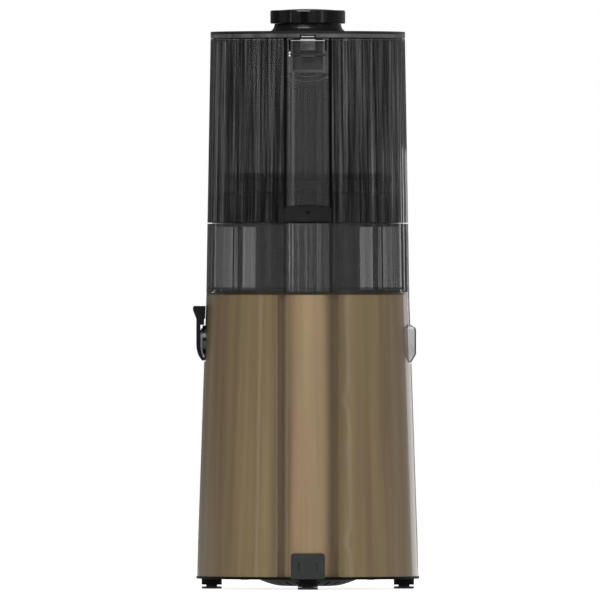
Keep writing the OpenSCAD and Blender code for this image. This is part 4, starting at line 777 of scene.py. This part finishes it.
class JUICER_OT_finish_drive(bpy.types.Operator):
    """Finishes the motor, the fan and the gears inside the body"""

    bl_idname = "juicer.finish_drive"
    bl_label = "Motor and gears"

    def execute(self, context):
        finish(
            cast_alloy("die_cast_aluminium", "#8d9092", "#b3b5b7"),
            "motor_lower_bracket", "motor_upper_bracket", "gearbox_case", "gearbox_cover",
        )
        finish(
            turned_metal("ground_bearing_steel", "#b4b6b8", "#dadcde", rough=0.16, unit_mm=0.4),
            "motor_bearings", "output_bearing", "layshaft_pin",
        )
        finish(layered_core("laminated_core_steel", "#44474a", "#6a6d70"), "motor_stator")
        finish(copper_winding("enamelled_copper_wire", "#6d3514", "#c47a3c"), "motor_coils")
        finish(layered_core("rotor_core_steel", "#5b5e61", "#85888b"), "motor_rotor")
        finish(moulded("fan_nylon", "#1f2123", "#2d3032", rough=0.55), "cooling_fan")
        finish(
            turned_metal("cut_gear_bronze", "#96742c", "#cfae5f", rough=0.32, unit_mm=0.5),
            "layshaft_gear",
        )
        finish(
            turned_metal("hobbed_gear_steel", "#6f7275", "#9a9da0", rough=0.34, unit_mm=0.5),
            "output_gear",
        )
        return {"FINISHED"}


class JUICER_OT_finish_controls(bpy.types.Operator):
    """Finishes the dial, its bezel, the switch and the control board"""

    bl_idname = "juicer.finish_controls"
    bl_label = "Controls"

    def execute(self, context):
        low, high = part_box("dial")
        middle = (0, 0, (low.z + high.z) / 2)
        finish(spun_metal("spun_champagne_aluminium", "#93805a", "#c8b48a", "Y", middle), "dial")
        finish(polished("bezel_polished_abs", "#120f0a", "#1c1710", rough=0.08), "dial_bezel")
        finish(
            moulded("pointer_paint_white", "#e6e4dd", "#f5f3ee", rough=0.4, grain_mm=0.4, depth_mm=0.01),
            "dial_pointer",
        )
        finish(moulded("switch_nylon", "#1b1f24", "#272c33", rough=0.45), "rotary_switch")
        finish(printed_board("green_circuit_board", "#1d5a2c", "#2a7440"), "control_board")
        return {"FINISHED"}


class JUICER_OT_finish_chamber(bpy.types.Operator):
    """Finishes the juicing chamber with its outlets, strainer and auger"""

    bl_idname = "juicer.finish_chamber"
    bl_label = "Chamber, outlets and auger"

    def execute(self, context):
        ring = smoky_reeded(
            "smoky_chamber_copolyester", "#c0c0c0", "#e8e8e8", context.scene.juicer_colours.smoke,
            streak=0.9, haze=0.05, spine_level=0.6, seam_shade_tone="#8c8c8c", glints=0.11, ior=1.12,
        )
        finish(ring, "chamber_shell")
        finish(polished("drum_smoky_abs", "#242424", "#343434", rough=0.12), "drum")
        finish(polished("spout_black_abs", "#121114", "#1d1b20", rough=0.14), "juice_spout")
        finish(polished("juice_cap_black_abs", "#0b0b0d", "#161519"), "juice_cap")
        finish(rubber("juice_seal_silicone", "#79757c", "#9a969d", rough=0.4), "juice_seal")
        finish(
            turned_metal("blackened_pin_steel", "#1d1e20", "#34363a", rough=0.3),
            "juice_pin", "hinge_pin",
        )
        finish(milky_clear("pulp_chute_copolyester", "#bdbebd", "#dadbda"), "pulp_chute")
        finish(rubber("pulp_lip_silicone", "#080808", "#1a1b1a", rough=0.5), "pulp_lip")
        finish(fine_strainer("strainer_moulding", "#2c2e30", "#7b7e81"), "strainer")
        finish(polished("auger_polished_polyimide", "#1d1f21", "#2a2d2f", rough=0.16), "auger")
        return {"FINISHED"}


class JUICER_OT_finish_hopper(bpy.types.Operator):
    """Finishes the fluted hopper, its bowl, lock ring, wing, latch and hinge pocket"""

    bl_idname = "juicer.finish_hopper"
    bl_label = "Hopper"

    def execute(self, context):
        wall = smoky_reeded(
            "smoky_hopper_copolyester", "#505050", "#d8d8d8", context.scene.juicer_colours.smoke,
            streak=3.2, haze=0.06, spine_level=0.5, seam_shade_tone="#1c1c1c", glints=0.05,
        )
        finish(wall, "hopper_shell")
        finish(banded_bowl("bowl_smoky_abs"), "hopper_bowl")
        finish(
            moulded(
                "lock_ring_abs_black", "#0a0a0b", "#131314",
                rough=0.3, grain_mm=0.5, depth_mm=0.01, coat=0.4,
            ),
            "lock_ring",
        )
        finish(polished("wing_grey_abs", "#45484b", "#5a5d60", rough=0.2), "cutting_wing")
        finish(
            moulded(
                "latch_black_abs", "#161616", "#1e1e1e",
                rough=0.4, grain_mm=0.5, depth_mm=0.01, gloss=0.08,
            ),
            "latch",
        )
        finish(
            moulded(
                "latch_mark_paint", "#020202", "#050505",
                rough=0.5, grain_mm=0.3, depth_mm=0.01, gloss=0.04,
            ),
            "latch_mark",
        )
        finish(polished("pocket_smoky_abs", "#3c3c3c", "#4e4e4e", rough=0.2), "hinge_pocket")
        return {"FINISHED"}


class JUICER_OT_finish_lid(bpy.types.Operator):
    """Finishes the lid, the chute cap and the gold disc"""

    bl_idname = "juicer.finish_lid"
    bl_label = "Lid and cap"

    def execute(self, context):
        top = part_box("hinge_pocket")[1].z
        rim = (top + RIM_LOW * MM, top + RIM_HIGH * MM)
        finish(edged_lid("lid_smoky_abs", "#161616", "#373737", "#565656", *rim), "lid")
        finish(polished("cap_black_abs", "#020202", "#1f1f20", rough=0.12, painted_facets=26), "chute_cap")
        finish(spun_metal("spun_gold_aluminium", "#9b8265", "#d2b894", "Z", (0, 0, 0)), "cap_disc")
        return {"FINISHED"}


# Trim pieces


class JUICER_OT_spine_channel(bpy.types.Operator):
    """Models the clear channel that runs down behind the hopper's spine"""

    bl_idname = "juicer.spine_channel"
    bl_label = "Spine channel"

    def execute(self, context):
        sizes = context.scene.juicer_sizes
        half = sizes.channel_width / 2 / MM
        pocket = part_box("hinge_pocket")[0] / MM
        face = pocket.y + CHANNEL_REACH
        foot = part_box("lock_ring")[1].z / MM + CHANNEL_FOOT_GAP
        top = pocket.z - CHANNEL_TOP_GAP
        piece = block("spine_channel", (-half, face - CHANNEL_DEPTH, foot), (half, face, top))
        # The face towards the back is opened, then the walls are given their thickness.
        edit_faces(piece, lambda side: side.normal.y > FACING_BACK)
        bpy.ops.mesh.delete(type="FACE")
        bpy.ops.object.mode_set(mode="OBJECT")
        walled(piece, sizes.channel_wall, -1)
        rounded(piece, CHANNEL_EDGE, 3)
        wall = smoky_clear("smoky_channel_copolyester", "#8c8c8c", "#b4b4b4")
        hung(piece, "hopper", wall)
        return {"FINISHED"}


class JUICER_OT_deck_shadow_ring(bpy.types.Operator):
    """Models a thin dark ring on the deck that blocks light in the gap under the chamber"""

    bl_idname = "juicer.deck_gasket"
    bl_label = "Deck gasket"

    def execute(self, context):
        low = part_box("deck")[1].z + SHADOW_RING_FIT * MM
        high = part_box("drum")[0].z + (FLANGE_HEIGHT - SHADOW_RING_FIT) * MM
        clear_selection()
        bpy.ops.mesh.primitive_cylinder_add(
            vertices=128, radius=SHADOW_RING_RADIUS * MM, depth=high - low, end_fill_type="NOTHING",
            location=(0, 0, (low + high) / 2),
        )
        piece = context.object
        piece.name = "deck_gasket"
        settle(piece)
        walled(piece, SHADOW_RING_WIDTH * MM, -1)
        bpy.ops.object.shade_smooth_by_angle(angle=math.radians(WALL_SHARP_ANGLE))
        hung(piece, "base", rubber("deck_shadow_ring_black", "#121212", "#1c1c1c"))
        return {"FINISHED"}


class JUICER_OT_channel_ridges(bpy.types.Operator):
    """Models two curved ridges where the spine channel's round top meets the hinge pocket, pale as
    painted highlight
    """

    bl_idname = "juicer.channel_ridges"
    bl_label = "Channel ridges"

    def execute(self, context):
        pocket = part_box("hinge_pocket")[0]
        ridges = []
        for drop, half, sag in RIDGES:
            # A ring whose lower part crosses the channel; the rest is cut away.
            radius = (half**2 + sag**2) / (2 * sag) * MM
            middle = pocket.z - drop * MM + radius
            clear_selection()
            bpy.ops.mesh.primitive_torus_add(
                major_radius=radius, minor_radius=RIDGE_RADIUS * MM,
                major_segments=160, minor_segments=8,
                location=(0, pocket.y + RIDGE_REACH * MM, middle), rotation=(math.pi / 2, 0, 0),
            )
            ring = context.object
            settle(ring)
            bpy.ops.object.mode_set(mode="EDIT")
            bpy.ops.mesh.select_all(action="SELECT")
            bpy.ops.mesh.bisect(
                plane_co=(0, 0, middle - radius + sag * MM), plane_no=(0, 0, 1),
                use_fill=True, clear_outer=True,
            )
            bpy.ops.object.mode_set(mode="OBJECT")
            bpy.ops.object.shade_smooth_by_angle(angle=math.radians(SHARP_ANGLE))
            ridges.append(ring)
        piece = joined("channel_ridges", *ridges)
        # Near white: painted highlight along the ridges.
        clear = polished("ridge_highlight_white", "#dedede", "#f4f4f4", rough=0.2)
        hung(piece, "hopper", clear)
        return {"FINISHED"}


class JUICER_OT_lid_clip(bpy.types.Operator):
    """Models the clip on the lid's arm, the dark notch above it and pale bars of painted highlight across
    both
    """

    bl_idname = "juicer.lid_clip"
    bl_label = "Lid clip"

    def execute(self, context):
        half = context.scene.juicer_sizes.clip_width / 2 / MM
        back = far_corner("lid")[1]
        top = far_corner("hinge_pocket")[2]

        def across(name, sizes):
            share, inner, outer, low, high = sizes
            side = share * half
            return block(name, (-side, back + inner, top + low), (side, back + outer, top + high))

        clip = across("lid_clip", LID_CLIP)
        edit_faces(clip, lambda side: side.normal.y > FACING_BACK)
        bpy.ops.mesh.inset(thickness=CLIP_FRAME * MM, depth=0)
        bpy.ops.mesh.extrude_region_move(TRANSFORM_OT_translate={"value": (0, -CLIP_DISH * MM, 0)})
        bpy.ops.object.mode_set(mode="OBJECT")
        rounded(clip, TRIM_EDGE, 2)
        hung(clip, "lid", polished("clip_grey_abs", "#303030", "#3e3e3e", rough=0.3))
        notch = across("lid_notch", LID_NOTCH)
        rounded(notch, TRIM_EDGE, 2)
        black = moulded("notch_black_abs", "#060606", "#0c0c0c", rough=0.4, gloss=0.05)
        hung(notch, "lid", black)
        # Pale bars across the clip and the notch: painted highlight.
        bar = joined("lid_highlight_bar", *[across("lid_highlight_bar_part", sizes) for sizes in LID_HIGHLIGHT_BARS])
        rounded(bar, TRIM_EDGE, 2)
        hung(bar, "lid", polished("bar_highlight_pale", "#8e8e8e", "#b4b4b4", rough=0.3))
        return {"FINISHED"}


class JUICER_OT_pocket_trim(bpy.types.Operator):
    """Models the dark bars beside the hinge pocket and two pale dots of painted highlight below one of
    them
    """

    bl_idname = "juicer.pocket_trim"
    bl_label = "Pocket bars and studs"

    def execute(self, context):
        side, back, top = far_corner("hinge_pocket")
        inner, outer = (back - gap for gap in BAR_BACK)
        low, high = (top - drop for drop in BAR_HEIGHT)
        near, far = (side + gap for gap in LEFT_BAR)
        left = block("pocket_bars", (near, inner, low), (far, outer, high))
        near, far = (side + gap for gap in RIGHT_BAR)
        right = block("right_bar", (-far, inner, low), (-near, outer, high))
        bars = joined("pocket_bars", left, right)
        rounded(bars, BAR_EDGE, 3)
        black = moulded("pocket_bar_black_abs", "#030303", "#080808", rough=0.4, gloss=0.04)
        hung(bars, "hopper", black)
        # Two pale dots: painted highlight.
        highlight_dots = []
        for drop in HIGHLIGHT_DOT_DROPS:
            clear_selection()
            bpy.ops.mesh.primitive_uv_sphere_add(
                segments=24, ring_count=12, radius=HIGHLIGHT_DOT_RADIUS * MM,
                location=Vector((side + HIGHLIGHT_DOT_ASIDE, back - HIGHLIGHT_DOT_BACK, top - drop)) * MM,
            )
            highlight_dots.append(context.object)
            settle(context.object)
        pair = joined("pocket_highlight_dots", *highlight_dots)
        bpy.ops.object.shade_smooth()
        pale = polished("highlight_dot_pale", "#e2e2e2", "#f6f6f6", rough=0.2)
        hung(pair, "hopper", pale)
        return {"FINISHED"}


class JUICER_OT_dial_grip(bpy.types.Operator):
    """Models the ribbed grip round the control dial"""

    bl_idname = "juicer.dial_grip"
    bl_label = "Dial grip"

    def execute(self, context):
        low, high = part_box("dial")
        middle = Vector((0, low.y, (low.z + high.z) / 2))
        radius = (high.z - low.z) / 2 + GRIP_GAP * MM
        clear_selection()
        bpy.ops.mesh.primitive_cylinder_add(
            vertices=context.scene.juicer_sizes.grip_ribs * 4, radius=radius,
            depth=GRIP_DEPTH * MM, end_fill_type="NOTHING",
            location=middle + Vector((0, GRIP_DEPTH * MM, 0)), rotation=(math.pi / 2, 0, 0),
        )
        piece = context.object
        piece.name = "dial_grip"
        settle(piece)
        # Every other pair of faces is pushed out a little, which leaves the ribs.
        turn = {}
        for face in piece.data.polygons:
            offset = face.center - middle
            turn[face.index] = math.atan2(offset.z, offset.x)
        order = sorted(turn, key=turn.get)
        chosen = {index for place, index in enumerate(order) if place % 4 < 2}
        edit_faces(piece, lambda face: face.index in chosen)
        bpy.ops.mesh.extrude_region_shrink_fatten(TRANSFORM_OT_shrink_fatten={"value": GRIP_RIB * MM})
        bpy.ops.object.mode_set(mode="OBJECT")
        walled(piece, GRIP_WALL * MM, 1)
        bpy.ops.object.shade_smooth_by_angle(angle=math.radians(WALL_SHARP_ANGLE))
        centre = (0, 0, middle.z)
        gold = spun_metal("ribbed_champagne_aluminium", "#7c6a49", "#b8a478", "Y", centre)
        hung(piece, "dial", gold)
        return {"FINISHED"}


# Stage


def white_room(scene):
    """A room that is white behind the juicer and lights it from one side more than the other."""
    world = bpy.data.worlds.new("studio_room")
    scene.world = world
    world.use_nodes = True
    room = world.node_tree
    room.nodes.clear()
    path = add(room, "LightPath").outputs
    direct = add(
        room, "Math", {0: path["Is Camera Ray"], 1: path["Is Transmission Ray"]},
        operation="MAXIMUM",
    )
    way = add(room, "SeparateXYZ", {"Vector": add(room, "TexCoord").outputs["Generated"]})
    fill = add(
        room, "MapRange",
        {
            "Value": way.outputs["X"], "From Min": -FILL_SPAN, "From Max": FILL_SPAN,
            "To Min": FILL_BRIGHT, "To Max": FILL_DIM,
        },
    )
    strength = add(
        room, "Mix",
        {"Factor": direct.outputs[0], NUMBER_A: fill.outputs["Result"], NUMBER_B: 1.0},
        data_type="FLOAT",
    )
    light = {"Color": (1, 1, 1, 1), "Strength": strength.outputs[NUMBER_OUT]}
    white = add(room, "Background", light)
    room.links.new(white.outputs[0], add(room, "OutputWorld").inputs["Surface"])


def softbox(name, place, aim_z, width, height, watts):
    """A rectangular light at its place in metres, turned to the juicer at aim_z."""
    light = bpy.data.lights.new(name, "AREA")
    light.shape = "RECTANGLE"
    light.size = width
    light.size_y = height
    light.energy = watts
    lamp = bpy.data.objects.new(name, light)
    bpy.context.collection.objects.link(lamp)
    lamp.location = place
    way = Vector((0, 0, aim_z)) - Vector(place)
    lamp.rotation_euler = way.to_track_quat("-Z", "Y").to_euler()


class JUICER_OT_stage(bpy.types.Operator):
    """Lays the floor, sets the lights and places the camera behind the juicer"""

    bl_idname = "juicer.stage"
    bl_label = "Studio"

    def execute(self, context):
        studio = context.scene.juicer_studio
        clear_selection()
        bpy.ops.mesh.primitive_plane_add(size=FLOOR_WIDTH, location=(0, 0, -FLOOR_GAP))
        floor = context.object
        floor.name = "studio_floor"
        settle(floor)
        floor.data.materials.append(lit_paper("floor_lit_paper", studio.floor))
        white_room(context.scene)

        # High boxes light the body without showing in its upright walls; the strips do show.
        softbox(
            "rear_softbox", (0.62, 2.1, 2.1), aim_z=0.2, width=1.6, height=1.6,
            watts=studio.key_power,
        )
        softbox("left_strip", (1.5, 1.1, 0.5), aim_z=0.25, width=0.12, height=1.6, watts=0.9)
        softbox("right_strip", (-1.3, 1.3, 0.5), aim_z=0.25, width=0.12, height=1.6, watts=0.9)
        softbox("rim_softbox", (-1.1, -1.9, 0.2), aim_z=0.2, width=0.9, height=0.42, watts=1.7)
        softbox("top_softbox", (0, 0.3, 2.2), aim_z=0.3, width=1.2, height=1.2, watts=8)

        # The photograph is level and nearly parallel: a long lens far behind the juicer.
        camera = bpy.data.cameras.new("rear_camera")
        camera.sensor_width = SENSOR_WIDTH
        camera.lens = SENSOR_WIDTH * CAMERA_AWAY / PICTURE_WIDTH
        camera.clip_end = CAMERA_REACH
        seen = bpy.data.objects.new("rear_camera", camera)
        context.collection.objects.link(seen)
        seen.location = (CAMERA_ASIDE, CAMERA_AWAY, CAMERA_HEIGHT)
        seen.rotation_euler = (math.pi / 2, 0, math.pi)
        context.scene.camera = seen
        context.scene.view_settings.view_transform = "Standard"
        return {"FINISHED"}


class JUICER_PT_panel(bpy.types.Panel):
    """Lists the juicer's sizes, colours, studio settings and steps"""

    bl_idname = "JUICER_PT_panel"
    bl_label = "Cold press juicer"
    bl_space_type = "VIEW_3D"
    bl_region_type = "UI"
    bl_category = "Juicer"

    def draw(self, context):
        column = self.layout.column()
        scene = context.scene
        for group in (scene.juicer_sizes, scene.juicer_colours, scene.juicer_studio):
            for key in group.__annotations__:
                column.prop(group, key)
        for step in STEPS:
            column.operator(step.bl_idname)


STEPS = (
    JUICER_OT_finish_body,
    JUICER_OT_finish_drive,
    JUICER_OT_finish_controls,
    JUICER_OT_finish_chamber,
    JUICER_OT_finish_hopper,
    JUICER_OT_finish_lid,
    JUICER_OT_deck_shadow_ring,
    JUICER_OT_spine_channel,
    JUICER_OT_channel_ridges,
    JUICER_OT_lid_clip,
    JUICER_OT_pocket_trim,
    JUICER_OT_dial_grip,
    JUICER_OT_stage,
)
CLASSES = (JuicerSizes, JuicerColours, JuicerStudio, *STEPS, JUICER_PT_panel)


def register():
    for item in CLASSES:
        bpy.utils.register_class(item)
    bpy.types.Scene.juicer_sizes = PointerProperty(type=JuicerSizes)
    bpy.types.Scene.juicer_colours = PointerProperty(type=JuicerColours)
    bpy.types.Scene.juicer_studio = PointerProperty(type=JuicerStudio)


def unregister():
    del bpy.types.Scene.juicer_studio
    del bpy.types.Scene.juicer_colours
    del bpy.types.Scene.juicer_sizes
    for item in reversed(CLASSES):
        bpy.utils.unregister_class(item)


def main():
    register()
    for step in STEPS:
        area, call = step.bl_idname.split(".")
        if getattr(getattr(bpy.ops, area), call)() != {"FINISHED"}:
            raise RuntimeError("step did not finish: " + step.bl_label)


if __name__ == "__main__":
    main()
